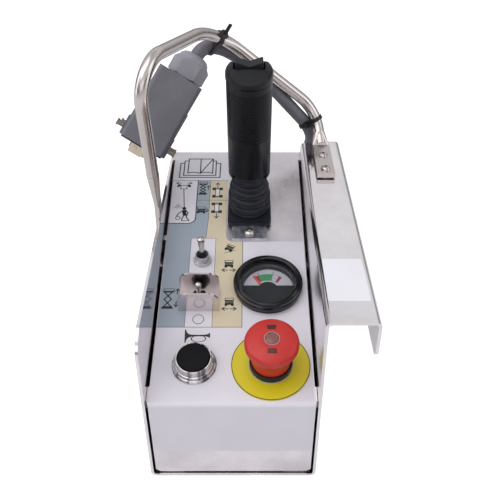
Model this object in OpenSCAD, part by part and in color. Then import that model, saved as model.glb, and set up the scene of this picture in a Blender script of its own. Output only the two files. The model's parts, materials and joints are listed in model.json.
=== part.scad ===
// Platform control box of a scissor lift.
// Millimetres. Origin on the centre of the box's flat bottom, X to the operator's right,
// Y away from the operator, Z up. The control panel slopes up towards the back.

/* [Box] */
// Depth of the folded shell, front edge to back edge
shell_depth = 278.5; // [240:0.5:320]
// Width over the outer faces of the two side plates
box_width = 131.8; // [110:0.2:160]
// Thickness of the shell's sheet
shell_sheet = 2.3; // [1.5:0.1:4]
// Outer radius of the shell's folds
shell_fold = 4.6; // [3:0.1:8]
// Height of the left side plate
side_height = 146.5; // [120:0.5:180]
// Radius of the left plate's top front corner
side_corner = 19; // [5:0.5:30]
// Distance from the origin to the shell's front edge
shell_front = 140.5; // [120:0.5:160]

/* [Rail hook] */
// Height of the hook's top face
hook_height = 164.5; // [150:0.5:190]
// Outer face of the hook's lip, from the centre plane
hook_reach = 101.3; // [85:0.5:120]
// Back end of the hook
hook_back = 125.5; // [100:0.5:140]
// Depth of the lip under the hook's top face
lip_drop = 32; // [15:0.5:40]
// Radius of the lip's and the top's free corners
hook_corner = 5.5; // [2:0.5:10]
// Height where the slanted back edge of the right plate starts
slant_start = 146; // [130:0.5:160]

/* [Cover] */
// Thickness of the cover's sheet
cover_sheet = 1.8; // [1:0.1:3]
// Gap between the cover and each side plate
side_gap = 1.7; // [0.5:0.1:4]
// Slope of the control panel, in degrees
panel_slope = 13; // [0:0.5:30]
// Outer front face of the cover
cover_front = 138.9; // [120:0.1:160]
// Outer back face of the cover
cover_back = 140.4; // [120:0.1:160]
// Height where the panel plane meets the front face
front_height = 82.4; // [60:0.1:110]
// Outer radius of the cover's folds
cover_fold = 3.2; // [2:0.1:6]
// Gap under the cover's front face
cover_gap = 3.6; // [2.5:0.1:8]
// Length of the ears that cover the side plates at the back
ear_length = 15; // [8:0.5:25]

/* [Overlay] */
// Thickness of the control overlay
film = 0.35; // [0.2:0.05:1]
// Bare edge of the cover on each side of the overlay
film_inset = 0.6; // [0:0.1:5]
// Back edge of the overlay along the panel
film_back = 277.5; // [240:0.5:285]
// Left edge of the bare strip beside the joystick
bare_left = -8.3; // [-30:0.1:20]
// Front edge of the bare strip
bare_front = 161; // [120:1:200]
// Lower edge of the overlay's flap on the front face
flap_low = 29.6; // [5:0.2:60]

/* [Emergency stop] */
// Place of the emergency stop, across and along the panel
stop_at = [29.3, 33.4]; // [-60:0.1:280]
// Diameter of the yellow legend disc
legend_d = 60.6; // [50:0.5:90]
// Diameter of the mushroom head
mushroom_d = 40.6; // [30:0.5:60]
// Height of the mushroom's top above the panel
mushroom_top = 37; // [28:0.5:45]
// Travel of the emergency stop
stop_travel = 4.8; // [3:0.1:6]
// Outer radius of the head's skirt
skirt_r = 15; // [13:0.1:18]
// Diameter of a control's barrel through the panel
barrel_d = 22; // [16:0.5:30]

/* [Horn] */
// Place of the horn button, across and along the panel
horn_at = [-29.4, 33.8]; // [-60:0.1:280]
// Diameter of the horn's steel flange
horn_flange_d = 34.5; // [28:0.5:45]
// Diameter of the black cap
horn_cap_d = 24.4; // [16:0.2:30]
// Travel of the cap
horn_travel = 3; // [1:0.1:4]

/* [Gauge] */
// Place of the gauge, across and along the panel
gauge_at = [28.5, 110]; // [-60:0.1:280]
// Diameter of the gauge's bezel
bezel_d = 58; // [48:0.5:75]
// Height of the bezel
bezel_h = 9.5; // [3:0.1:12]
// Diameter of the case
case_d = 51.6; // [40:0.2:60]
// Depth of the case under the panel
case_depth = 36; // [20:1:60]

/* [Toggles] */
// Place of the guarded toggle, across and along the panel
front_toggle_at = [-28.5, 95.7]; // [-60:0.1:280]
// Place of the rear toggle, across and along the panel
rear_toggle_at = [-27.9, 138.5]; // [-60:0.1:280]
// Width, depth and height of the guard
guard_size = [33, 22.5, 22]; // [10:0.5:50]
// Thickness of the guard's sheet
guard_sheet = 1.6; // [1:0.1:3]
// Radius of the guard's top corners
guard_corner = 8.5; // [2:0.5:11]
// Diameter of a toggle's bushing
bushing_d = 11.8; // [6:0.1:16]
// Length of the bat lever above the panel
bat_top = 30; // [18:0.5:40]

/* [Joystick] */
// Place of the joystick's axis, across and along the panel
stick_at = [12.8, 200.5]; // [-60:0.1:280]
// Depth of the joystick's pivot under the panel
stick_pivot = 12; // [5:0.5:30]
// Width of the joystick's mounting plate
stick_plate_w = 31.2; // [25:0.2:50]
// Width and depth of the boot's square frame
boot_frame_size = [39.4, 43.2]; // [34:0.2:60]
// Distance of each plate screw from the joystick's axis
stick_screw = 30; // [26:0.5:34]
// Largest diameter of the rubber boot
boot_d = 38.8; // [30:0.5:55]
// Diameter of the grip
grip_d = 36.3; // [28:0.2:45]
// Height where the grip starts
grip_low = 52.5; // [45:0.5:90]
// Height of the seam between grip and head
grip_seam = 144.7; // [110:0.5:170]
// Height of the head over the seam
head_h = 10.5; // [8:0.5:20]
// Number of ribs round the grip
grip_ribs = 24; // [8:1:40]
// Spacing of the ribs
rib_pitch = 1.84; // [1:0.02:3]
// Distance from the top of the ribs to the seam
rib_gap = 6.1; // [2:0.1:15]

/* [Guard tube] */
// Outer diameter of the guard tube
tube_d = 10.5; // [8:0.1:16]
// Wall of the guard tube
tube_wall = 1.5; // [1:0.1:3]
// Width and thickness of the tube's flattened ends
flat_size = [16, 4]; // [3:0.1:25]
// Spacing of the two screws in a flattened end
flat_pitch = 26; // [15:0.5:40]

/* [Cable and plug] */
// Diameter of the cable
cable_d = 12.4; // [6:0.1:16]
// Place of the gland on the back wall, across and up
gland_at = [38, 84]; // [-50:0.5:120]
// Width, height and depth of the plug's hood
hood_size = [41.6, 69.6, 52]; // [20:0.2:100]
// Wall of the hood
hood_wall = 3; // [1.5:0.1:6]
// Centre of the hood's near face
hood_at = [-64, 70.6, 220.4]; // [-300:0.1:300]
// Turn of the hood about the three axes
hood_turn = [61.5, 30.4, -9.5]; // [-180:0.1:180]

/* [Hidden] */
$fn = 64;
eps = 0.01;
half = box_width / 2;
cover_width = box_width - 2 * (shell_sheet + side_gap);
film_width = cover_width - 2 * film_inset;
// Place of the four foot screws, across and along the box
foot_at = [half - 17.9, 126];
head_top = grip_seam + head_h;
rib_low = grip_seam - rib_gap - grip_ribs * rib_pitch;
inner = half - shell_sheet;
shell_back = shell_depth - shell_front;
fold_in = shell_fold - shell_sheet;
hook_low = hook_height - lip_drop;
slope_cos = cos(panel_slope);
slope_sin = sin(panel_slope);
panel_run = (cover_front + cover_back) / slope_cos;
back_height = front_height + (cover_front + cover_back) * tan(panel_slope);
// The cover's flat sheets reach this far into its folds, which are a hair thicker and narrower
fold_lap = 0.25;
fold_hair = 0.03;
// How far a fold's tangent points lie from the corner of its two planes
front_tangent = cover_fold * tan((90 - panel_slope) / 2);
back_tangent = cover_fold * tan((90 + panel_slope) / 2);
bolt_d = 5;
nut_af = 8;
// Nuts pressed flush into the hook's top, so that the rail can lie against it
press_nut_d = 8;
tube_path = [[-68.5, 31, 152], [-68.5, -7, 290], [-21, 118, 278], [77, 136, 194], [81.5, 112, 170.5]];
tube_bend = [0, 26, 55, 34, 0];
right_flat = [81.5, 112, hook_height + 3.2];
left_flat = [-half - flat_size[1] / 2 - 0.1, 31, 152];
// Height of the upper screw in the left end, and front end of the right one
left_screw = 112;
right_end = 50.8;
// Front screw of the right end
right_screw = 60;
cable_path = [
    [-39.6, 111.1, 245.9], [-28.6, 119.6, 262], [-11.2, 126.8, 256.6], [13.9, 136.3, 239.3],
    [53, 134.2, 196.9], [75.9, 129.5, 173.7], [72, 156, 128], [gland_at[0], 196, gland_at[1]],
    [gland_at[0], cover_back - 6, gland_at[1]]
];
cable_bend = [0, 15, 40, 60, 40, 28, 26, 20, 0];
metal = [0.78, 0.77, 0.78];
polished = [0.86, 0.84, 0.85];
zinc = [0.72, 0.71, 0.68];
black = [0.07, 0.07, 0.08];
rubber = [0.13, 0.13, 0.15];
grey = [0.42, 0.41, 0.45];
pale_grey = [0.62, 0.61, 0.65];
red = [0.8, 0.05, 0.05];
yellow = [0.85, 0.75, 0.1];
white = [0.88, 0.87, 0.9];
clear = [0.85, 0.88, 0.9, 0.6];

function unit(v) = v / norm(v);
// Distance from a path's corner to the ends of its bend
function tangent(p, i, r) =
    let (a = unit(p[i - 1] - p[i]), b = unit(p[i + 1] - p[i])) r / tan(acos(a * b) / 2);
function leave(p, r, i) = r[i] == 0 ? p[i] : p[i] + unit(p[i + 1] - p[i]) * tangent(p, i, r[i]);
function reach(p, r, i) = r[i] == 0 ? p[i] : p[i] + unit(p[i - 1] - p[i]) * tangent(p, i, r[i]);

// Puts children on the sloping panel: u across, w up the slope, t out of the panel
module on_panel(at, t = 0)
    translate([0, -cover_front, front_height]) rotate([panel_slope, 0, 0])
        translate([at[0], at[1], t]) children();

// Puts children on the cable's plug: x across its near face, y to its gland, z towards the viewer
module on_hood() translate(hood_at) rotate(hood_turn) children();

// Turns a profile drawn in Y and Z so that it runs along X
module along_x(x0, x1) translate([x0, 0, 0]) rotate([90, 0, 90]) linear_extrude(x1 - x0) children();

// Turns a profile drawn in X and Z so that it runs along Y
module along_y(y0, y1) translate([0, y1, 0]) rotate([90, 0, 0]) linear_extrude(y1 - y0) children();

// Places children with their z axis from a to b
module aim(a, b) {
    d = b - a;
    translate(a) rotate([0, acos(d[2] / norm(d)), atan2(d[1], d[0])]) children();
}

module annulus(r, bore) {
    difference() {
        circle(r);
        if (bore > 0) circle(bore);
    }
}

module ring(r, bore, h, z = 0) translate([0, 0, z]) linear_extrude(h) annulus(r, bore);

// A round bar or tube along a path with rounded corners. Each bend is a hair thicker than
// the straight runs, which reach a little way into it
lap = 0.7;
hair = 0.03;
module swept(p, bend, r, bore = 0) {
    for (i = [0 : len(p) - 2]) {
        dir = unit(p[i + 1] - p[i]);
        a = leave(p, bend, i) - dir * (bend[i] > 0 ? lap : 0);
        b = reach(p, bend, i + 1) + dir * (bend[i + 1] > 0 ? lap : 0);
        aim(a, b) linear_extrude(norm(b - a)) annulus(r, bore);
    }
    for (i = [1 : len(p) - 2]) {
        a = reach(p, bend, i);
        t = unit(p[i] - p[i - 1]);
        mid = unit(unit(p[i - 1] - p[i]) + unit(p[i + 1] - p[i]));
        turn = 180 - acos(unit(p[i - 1] - p[i]) * unit(p[i + 1] - p[i]));
        centre = p[i] + mid * bend[i] / cos(turn / 2);
        u = unit(a - centre);
        n = cross(u, t);
        multmatrix([[u[0], t[0], n[0], centre[0]], [u[1], t[1], n[1], centre[1]], [u[2], t[2], n[2], centre[2]]])
            rotate_extrude(angle = turn) translate([bend[i], 0]) annulus(r + hair, bore > 0 ? bore - hair : 0);
    }
}

// A rectangle with four round corners, drawn from circles and squares
module round_rect(w, h, r) {
    square([w - 2 * r, h], center = true);
    square([w, h - 2 * r], center = true);
    for (x = [-1, 1], y = [-1, 1]) translate([x * (w / 2 - r), y * (h / 2 - r)]) circle(r);
}

module hex(af, h, bore = 0, z = 0) {
    translate([0, 0, z]) difference() {
        cylinder(d = af / cos(30), h = h, $fn = 6);
        if (bore > 0) translate([0, 0, -eps]) cylinder(d = bore, h = h + 2 * eps);
    }
}

// Button-head screw with a hexagon socket, its head's seat at z = 0 and its shank downwards
module button_screw(d, shank) {
    head = d * 0.88;
    difference() {
        rotate_extrude() polygon([[0, 0], [head, 0], [head, d * 0.1], [d * 0.8, d * 0.3], [d * 0.62, d * 0.44],
            [d * 0.4, d * 0.52], [0, d * 0.54]]);
        translate([0, 0, d * 0.2]) cylinder(d = d * 0.66, h = d, $fn = 6);
    }
    translate([0, 0, -shank]) cylinder(d = d, h = shank);
}

// A corner to cut away, so that a square corner at the origin becomes a quarter round
module corner_cut(r) {
    difference() {
        translate([-eps, -eps]) square(r + eps);
        translate([r, r]) circle(r);
    }
}

// Quarter bend of sheet along Y, from angle a, centred on c in X and Z
module shell_bend(c, a, y0, y1)
    translate([c[0], y1, c[1]]) rotate([90, 0, 0]) rotate([0, 0, a])
        rotate_extrude(angle = 90) translate([fold_in, 0]) square([shell_sheet, y1 - y0]);

// Folded shell: left plate, bottom, right plate and rail hook in one sheet
module shell() color(metal) {
    y0 = -shell_front;
    y1 = shell_back;
    difference() {
        union() {
            // bottom and its two folds
            translate([-half + shell_fold, y0, 0]) cube([box_width - 2 * shell_fold, y1 - y0, shell_sheet]);
            shell_bend([-half + shell_fold, shell_fold], 180, y0, y1);
            shell_bend([half - shell_fold, shell_fold], 270, y0, y1);
            // side plates
            translate([-half, y0, shell_fold]) cube([shell_sheet, y1 - y0, side_height - shell_fold]);
            translate([inner, y0, shell_fold])
                cube([shell_sheet, y1 - y0, hook_height - shell_fold - shell_fold]);
            // hook: fold out of the right plate, top, fold down, lip
            shell_bend([inner + shell_fold, hook_height - shell_fold], 90, y0, y1);
            translate([inner + shell_fold, y0, hook_height - shell_sheet])
                cube([hook_reach - inner - 2 * shell_fold, hook_back - y0, shell_sheet]);
            shell_bend([hook_reach - shell_fold, hook_height - shell_fold], 0, y0, hook_back);
            translate([hook_reach - shell_sheet, y0, hook_low])
                cube([shell_sheet, hook_back - y0, lip_drop - shell_fold]);
        }
        // round top front corner of the left plate
        along_x(-half - eps, -inner + eps)
            translate([y0, side_height]) mirror([0, 1]) corner_cut(side_corner);
        // notch under the cover's ears
        along_x(-half - eps, -inner + eps) translate([y1 - ear_length + 1.2, side_height - 7]) square([20, 20]);
        // slanted back edge of the right plate, and the hook's back end
        along_x(inner - eps, half + 20) polygon([
            [y1 + eps, slant_start], [hook_back - 3, hook_height + eps], [y1 + eps, hook_height + eps]]);
        translate([half + eps, hook_back, slant_start - 20]) cube([20, 20, 40]);
        // round corners of the lip
        along_x(hook_reach - shell_sheet - eps, hook_reach + eps) {
            translate([y0, hook_low]) corner_cut(hook_corner);
            translate([hook_back, hook_low]) mirror([1, 0]) corner_cut(hook_corner);
        }
        // slot in the right plate for the cover's ear
        on_panel([inner - eps, panel_run - ear_length - 1.5], -cover_sheet - 0.5)
            cube([shell_sheet + 2 * eps, ear_length + 5, cover_sheet + 1.2]);
        // bottom screw holes
        for (x = [-1, 1], y = [-1, 1]) translate([x * foot_at[0], y * foot_at[1], -eps]) {
            cylinder(d = 4.4, h = shell_sheet + 2 * eps);
            cylinder(d1 = 8.6, d2 = 4.4, h = shell_sheet);
        }
        // screw holes for the guard tube's two ends
        for (k = [0, 1]) {
            translate([right_flat[0], right_screw + k * flat_pitch, hook_height - shell_sheet - eps])
                cylinder(d = press_nut_d, h = shell_sheet + 2 * eps);
            translate([-half - eps, left_flat[1], left_screw - k * flat_pitch]) rotate([0, 90, 0])
                cylinder(d = bolt_d + 0.4, h = shell_sheet + 2 * eps);
        }
    }
}

// Sheet fold of the cover along X, centred on c in Y and Z, from angle a0 to a1
module cover_bend(c, a0, a1, x0, x1)
    translate([x0 + fold_hair, c[0], c[1]]) rotate([90, 0, 90]) rotate([0, 0, a0])
        rotate_extrude(angle = a1 - a0) translate([cover_fold - cover_sheet - fold_hair, 0])
            square([cover_sheet + 2 * fold_hair, x1 - x0 - 2 * fold_hair]);

front_bend = [-cover_front + cover_fold, front_height - front_tangent];
back_bend = [cover_back - cover_fold, back_height - back_tangent];

// Cover: front face, sloping panel and back wall in one sheet
module cover() color(metal) {
    w = cover_width / 2;
    difference() {
        union() {
            translate([-w, -cover_front, cover_gap])
                cube([cover_width, cover_sheet, front_height - front_tangent - cover_gap + fold_lap]);
            cover_bend(front_bend, 90 + panel_slope, 180, -w, w);
            on_panel([-w, front_tangent - fold_lap], -cover_sheet)
                cube([cover_width, panel_run - front_tangent - back_tangent + 2 * fold_lap, cover_sheet]);
            // ears over the side plates, the back fold and the back wall
            on_panel([-half, panel_run - ear_length], -cover_sheet)
                cube([box_width, ear_length - back_tangent + fold_lap, cover_sheet]);
            cover_bend(back_bend, 0, 90 + panel_slope, -half, half);
            translate([-half, cover_back - cover_sheet, shell_fold + 0.4])
                cube([box_width, cover_sheet, back_height - back_tangent - shell_fold - 0.4 + fold_lap]);
            // tabs that close the side gaps beside the front fold
            for (s = [-1, 1]) {
                on_panel([s * (w + 0.7) - 0.7, 3.2], -10) cube([1.4, 12, 9.6]);
                on_panel([s * w - 1.4, 3.2], -10) cube([2.8, 12, 2]);
                on_panel([s * (w - 0.8) - 0.6, 3.2], -9) cube([1.2, 12, 9 - cover_sheet + 0.5]);
            }
        }
        // reliefs at the front face's lower corners
        along_y(-cover_front - eps, -cover_front + cover_sheet + eps)
            for (s = [-1, 1]) polygon([[s * (w + eps), cover_gap - eps], [s * (w - 3.6), cover_gap - eps],
                [s * (w + eps), cover_gap + 2.6]]);
        // panel openings
        on_panel(stop_at, -5) cylinder(d = barrel_d + 0.6, h = 10);
        on_panel(horn_at, -5) cylinder(d = barrel_d + 0.6, h = 10);
        on_panel(gauge_at, -5) cylinder(d = case_d + 0.8, h = 10);
        on_panel(front_toggle_at, -5) cylinder(d = bushing_d + 0.4, h = 10);
        on_panel(rear_toggle_at, -5) cylinder(d = bushing_d + 0.4, h = 10);
        on_panel(stick_at, -5) cylinder(d = 30, h = 10);
        for (s = [-1, 1]) on_panel([stick_at[0], stick_at[1] + s * stick_screw], -5)
            cylinder(d = bolt_d + 0.4, h = 10);
        // gland hole in the back wall
        translate([gland_at[0], cover_back + 5, gland_at[1]]) rotate([90, 0, 0]) cylinder(d = 20.4, h = 15);
    }
}

// Four angle brackets, welded to the cover's foot and screwed to the shell's bottom
module cover_brackets() color(metal) {
    leg = 18;
    sheet = 1.5;
    for (x = [-1, 1], s = [-1, 1]) {
        y = s < 0 ? -cover_front + cover_sheet : cover_back - cover_sheet;
        translate([x * foot_at[0], y, shell_sheet]) mirror([0, s < 0 ? 0 : 1, 0]) difference() {
            union() {
                translate([-8, 0, 0]) cube([16, leg, sheet]);
                translate([-8, 0, 0]) cube([16, sheet, leg]);
            }
            translate([0, s < 0 ? -foot_at[1] - y : y - foot_at[1], -eps]) cylinder(d = 4.2, h = 4);
        }
    }
}

// Countersunk screws up through the bottom, with their nuts
module cover_screws() color(polished)
    for (x = [-1, 1], y = [-1, 1]) translate([x * foot_at[0], y * foot_at[1], 0.2]) {
        difference() {
            cylinder(d1 = 7.8, d2 = 3.9, h = 2.1);
            translate([0, 0, -eps]) cylinder(d = 3, h = 1.2, $fn = 6);
        }
        cylinder(d = 3.9, h = 9);
        hex(7, 3.2, 0, 3.6);
    }

// Printed film on the panel, over the front fold and down the front face
module overlay() color(white) {
    w = film_width / 2;
    difference() {
        union() {
            on_panel([-w, front_tangent - fold_lap]) cube([film_width, film_back - front_tangent + fold_lap, film]);
            translate([-w + fold_hair, front_bend[0], front_bend[1]]) rotate([90, 0, 90])
                rotate([0, 0, 90 + panel_slope]) rotate_extrude(angle = 90 - panel_slope)
                    translate([cover_fold + fold_hair, 0]) square([film, film_width - 2 * fold_hair]);
            translate([-w, -cover_front - film, flap_low])
                cube([film_width, film, front_height - front_tangent - flap_low + fold_lap]);
        }
        // bare metal round the joystick, with one round corner
        on_panel([0, 0], -eps) linear_extrude(1) difference() {
            translate([bare_left, bare_front]) square([100, 150]);
            translate([bare_left, bare_front]) corner_cut(7);
        }
        on_panel(stop_at, -eps) cylinder(d = 24, h = 1);
        on_panel(horn_at, -eps) cylinder(d = 24, h = 1);
        on_panel(gauge_at, -eps) cylinder(d = case_d + 1.6, h = 1);
        on_panel(front_toggle_at, -eps) cylinder(d = bushing_d + 1, h = 1);
        on_panel(rear_toggle_at, -eps) cylinder(d = bushing_d + 1, h = 1);
    }
}

// Bent guard tube with its two ends pressed flat
module guard_tube() color(polished) {
    n = len(tube_path);
    inside = tube_d / 2 - tube_wall;
    w = flat_size[0];
    th = flat_size[1];
    a = tube_path[0] + unit(tube_path[1] - tube_path[0]) * 34;
    b = tube_path[n - 1] + unit(tube_path[n - 2] - tube_path[n - 1]) * 9;
    path = [for (i = [0 : n - 1]) i == 0 ? a : i == n - 1 ? b : tube_path[i]];
    right_dir = unit(tube_path[n - 2] - tube_path[n - 1]);
    swept(path, tube_bend, tube_d / 2, inside);
    // left end: pressed flat against the plate and taken down outside it
    hull() {
        aim(a, path[1]) cylinder(d = tube_d + 0.4, h = 0.5, $fn = 32);
        translate([left_flat[0], left_flat[1], left_flat[2]]) cube([th, w - 3, 1], center = true);
        translate([left_flat[0], left_flat[1], left_flat[2]]) cube([th - 2, w, 1], center = true);
    }
    difference() {
        translate(left_flat) rotate([0, 90, 0]) translate([0, 0, -th / 2]) linear_extrude(th) {
            translate([0, -w / 2]) square([left_flat[2] - left_screw + flat_pitch + 8, w]);
        }
        for (k = [0, 1]) translate([left_flat[0] - 5, left_flat[1], left_screw - k * flat_pitch])
            rotate([0, 90, 0]) cylinder(d = bolt_d + 0.4, h = 10);
    }
    // right end: pressed flat and laid forward along the hook's top
    hull() {
        aim(b, path[n - 2]) cylinder(d = tube_d + 0.4, h = 0.5, $fn = 32);
        translate([right_flat[0], right_flat[1] - 4, right_flat[2]]) cube([w, 1, th - 2], center = true);
        translate([right_flat[0], right_flat[1] - 4, right_flat[2]]) cube([w - 3, 1, th], center = true);
    }
    difference() {
        aim(tube_path[n - 1] - right_dir * 2, tube_path[n - 2]) linear_extrude(13) circle(tube_d / 2 - 0.2);
        translate([right_flat[0] - 20, 0, right_flat[2] - 20]) cube([40, 200, 20]);
    }
    difference() {
        translate([right_flat[0], 0, right_flat[2] - th / 2]) linear_extrude(th) {
            translate([-w / 2, right_end]) square([w, right_flat[1] - 4 - right_end]);
        }
        for (k = [0, 1]) translate([right_flat[0], right_screw + k * flat_pitch, right_flat[2] - 5])
            cylinder(d = bolt_d + 0.4, h = 10);
    }
}

// Washers that hold the tube's right end just off the hook
module guard_washers() color(zinc)
    for (k = [0, 1]) translate([right_flat[0], right_screw + k * flat_pitch, hook_height])
        ring(6, bolt_d / 2 + 0.2, right_flat[2] - flat_size[1] / 2 - hook_height);

// Button-head screws through both flattened ends
module guard_screws() color(polished) {
    for (k = [0, 1]) {
        translate([right_flat[0], right_screw + k * flat_pitch, right_flat[2] + flat_size[1] / 2])
            button_screw(bolt_d, right_flat[2] + flat_size[1] / 2 - hook_height + shell_sheet - 0.1);
        translate([left_flat[0] - flat_size[1] / 2, left_flat[1], left_screw - k * flat_pitch])
            rotate([0, -90, 0]) button_screw(bolt_d, 14);
    }
}

// Nuts of those screws, pressed into the hook and inside the left plate
module guard_nuts() color(zinc)
    for (k = [0, 1]) {
        translate([right_flat[0], right_screw + k * flat_pitch, hook_height - shell_sheet])
            ring(press_nut_d / 2, bolt_d / 2, shell_sheet);
        translate([-inner, left_flat[1], left_screw - k * flat_pitch]) rotate([0, 90, 0])
            hex(nut_af, 4.2, bolt_d);
    }

// Yellow disc of the emergency stop
module stop_legend() color(yellow) on_panel(stop_at, film) ring(legend_d / 2, 11.6, 1.2);

// Clear sealing ring on the disc
seal_h = 0.9;
module stop_seal() color(clear) on_panel(stop_at, film + 1.2) rotate_extrude()
    polygon([[11.6, 0], [17.1, 0], [17.1, seal_h - 0.4], [16.6, seal_h], [11.6, seal_h]]);

// Height of the cup that the skirt goes down into, and of its floor
cup_top = 8.3;
cup_floor = 3.1;

// Fixed body: black cup round the head's skirt, and the barrel through the panel
module stop_body() color(black) on_panel(stop_at) {
    seat = film + 1.2 + seal_h;
    cup = skirt_r + 0.3;
    rotate_extrude() polygon([
        [5.6, -28], [barrel_d / 2, -28], [barrel_d / 2, seat], [cup + 1.1, seat], [cup + 1.1, cup_top - 0.6],
        [cup + 0.6, cup_top], [cup, cup_top], [cup, cup_floor], [barrel_d / 2, cup_floor],
        [barrel_d / 2, 13.6], [5.6, 13.6]]);
}

module stop_nut() color(zinc) on_panel(stop_at) hex(27, 5, barrel_d, -cover_sheet - 5);

// Contact block under the barrel, with its terminal screws
module stop_contacts() color(grey) on_panel(stop_at) {
    difference() {
        translate([-15, -17, -62]) cube([30, 34, 34]);
        translate([0, 0, -40]) cylinder(d = 12, h = 14);
        for (x = [-1, 1], y = [-1, 1]) translate([x * 9, y * 17, -46]) cube([7, 7, 9], center = true);
    }
    for (x = [-1, 1], y = [-1, 1]) translate([x * 9, y * 14.6, -50.5]) cylinder(d = 3.6, h = 6);
}

// Stem that the head turns on and pushes in
module stop_stem() color(pale_grey) on_panel(stop_at) {
    translate([0, 0, -32]) cylinder(d = 10, h = 55);
    translate([0, 0, -34]) cylinder(d = 7, h = 2);
}

// Red mushroom head with a hollow skirt
module stop_head() color(red) on_panel(stop_at) {
    r = mushroom_d / 2;
    top = mushroom_top;
    low = cup_floor + stop_travel + 0.1;
    difference() {
        rotate_extrude() polygon([
            [11.7, low], [skirt_r, low], [skirt_r, top - 18], [skirt_r + 0.4, top - 14], [17.2, top - 11],
            [r - 0.5, top - 8.8], [r, top - 7.8], [r, top - 5], [r - 0.4, top - 3.6], [r - 1.5, top - 2.4],
            [r - 4, top - 1.3], [r - 8, top - 0.4], [r - 11, top], [6, top], [6, top - 1.6], [0, top - 1.6],
            [0, 23.2], [5.1, 23.2], [5.1, 19.4], [11.7, 19.4]]);
        stop_windows_at() stop_arrow(1.4, 0.2);
    }
}

// Places the windows before and behind the lens
module stop_windows_at() for (a = [0, 180]) rotate(a) translate([0, 10.2, mushroom_top]) children();

// Outline of a window, wider on its outer side, grown by g
module stop_arrow(h, g) translate([0, 0, -h]) linear_extrude(2 * h)
    polygon([[-2.7 - g, -1.8 - g], [2.7 + g, -1.8 - g], [3.4 + g, 1.8 + g], [-3.4 - g, 1.8 + g]]);

module stop_windows() color(black) on_panel(stop_at) intersection() {
    stop_windows_at() stop_arrow(1.3, 0);
    rotate_extrude() polygon([[0, mushroom_top - 1.3], [15, mushroom_top - 1.3], [13.4, mushroom_top - 0.75],
        [8, mushroom_top - 0.1], [0, mushroom_top - 0.1]]);
}

// Lens in the middle of the head, in its ring
module stop_lens() color(clear) on_panel(stop_at, mushroom_top - 1.6) rotate_extrude()
    polygon([[0, 0], [5.1, 0], [5.1, 1.8], [4.5, 2.5], [3, 3.1], [0, 3.4]]);
module stop_lens_ring() color(pale_grey) on_panel(stop_at, mushroom_top - 1.6) ring(5.9, 5.2, 2);

// Steel bezel of the horn button, with its barrel through the panel
module horn_bezel() color(polished) on_panel(horn_at) rotate_extrude() polygon([
    [6.4, -24], [barrel_d / 2, -24], [barrel_d / 2, film], [horn_flange_d / 2, film],
    [horn_flange_d / 2, 1.5], [horn_flange_d / 2 - 0.8, 2.4], [15.6, 2.7], [15.6, 4.3], [15, 5], [14.3, 5.2],
    [14.1, 10.2], [13.7, 10.9], [12.9, 10.9], [12.5, 10.3], [12.5, 1.6], [6.4, 1.6]]);

module horn_nut() color(zinc) on_panel(horn_at) hex(27, 4, barrel_d, -cover_sheet - 4);

module horn_contacts() color(grey) on_panel(horn_at) {
    difference() {
        translate([-13, -15, -54]) cube([26, 30, 30]);
        translate([0, 0, -40]) cylinder(d = 13.4, h = 17);
        for (x = [-1, 1], y = [-1, 1]) translate([x * 7.5, y * 15, -42]) cube([6, 7, 8], center = true);
    }
    for (x = [-1, 1], y = [-1, 1]) translate([x * 7.5, y * 12.8, -46]) cylinder(d = 3.4, h = 5);
}

// Black cap with a flat top and its stem
module horn_cap() color(black) on_panel(horn_at) rotate_extrude() {
    r = horn_cap_d / 2;
    polygon([[0, -28], [6.1, -28], [6.1, 4.8], [r, 4.8], [r, 11.1], [r - 0.3, 11.6], [r - 0.9, 11.8],
        [0, 12]]);
}

// Gauge: case under the panel, with two studs
module gauge_case() color(black) on_panel(gauge_at) {
    r = case_d / 2;
    difference() {
        rotate_extrude() polygon([
            [0, -case_depth], [r - 2, -case_depth], [r, -case_depth + 2], [r, film], [bezel_d / 2 - 1.5, film],
            [bezel_d / 2 - 1.5, 1.6], [r - 1, 1.6], [r - 1, -1.6], [0, -1.6]]);
        translate([0, needle_back, -8]) cylinder(d = spindle_d + 0.3, h = 8);
    }
    for (s = [-1, 1]) translate([s * 14, 0, -case_depth - 12]) cylinder(d = 4, h = 13);
}

// Height of the glass over the panel
glass_low = 3.6;

// Black bezel with a broad shoulder and a raised inner ring round its window
module gauge_bezel() color(black) on_panel(gauge_at) {
    r = bezel_d / 2;
    h = bezel_h;
    rotate_extrude() polygon([
        [r - 1.4, film], [r - 0.9, film], [r - 0.9, h * 0.28], [r - 0.2, h * 0.34], [r, h * 0.42],
        [r, h * 0.7], [r - 0.5, h * 0.8], [r - 1.6, h * 0.865], [r - 2.4, h * 0.875], [r - 2.7, h * 0.92],
        [r - 3.3, h * 0.98], [r - 4.2, h], [r - 5.2, h * 0.96], [r - 5.9, h * 0.84], [r - 6.4, h * 0.7],
        [r - 6.4, glass_low + 1.8], [r - 4.6, glass_low + 1.8], [r - 4.6, 1.7], [r - 1.4, 1.7]]);
}

module gauge_dial() color(white) on_panel(gauge_at, -1.5) difference() {
    cylinder(r = case_d / 2 - 1.4, h = 0.8);
    translate([0, needle_back, -1]) cylinder(d = spindle_d + 0.3, h = 3);
}

// Needle on its spindle, resting at the left end of the dial
module gauge_needle() color(red) on_panel(gauge_at) {
    translate([0, needle_back, -7.6]) cylinder(d = spindle_d, h = 8);
    translate([0, needle_back, -0.6]) cylinder(d = 4, h = 1.5);
    translate([0, needle_back, 0]) rotate([0, 0, needle_rest]) linear_extrude(0.6)
        polygon([[-4, -1], [0, -1.2], [22, -0.8], [22, 0.8], [0, 1.2], [-4, 1]]);
}
// Angle of the resting needle, its spindle's place and diameter
needle_rest = 123;
needle_back = -7;
spindle_d = 2;

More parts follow.
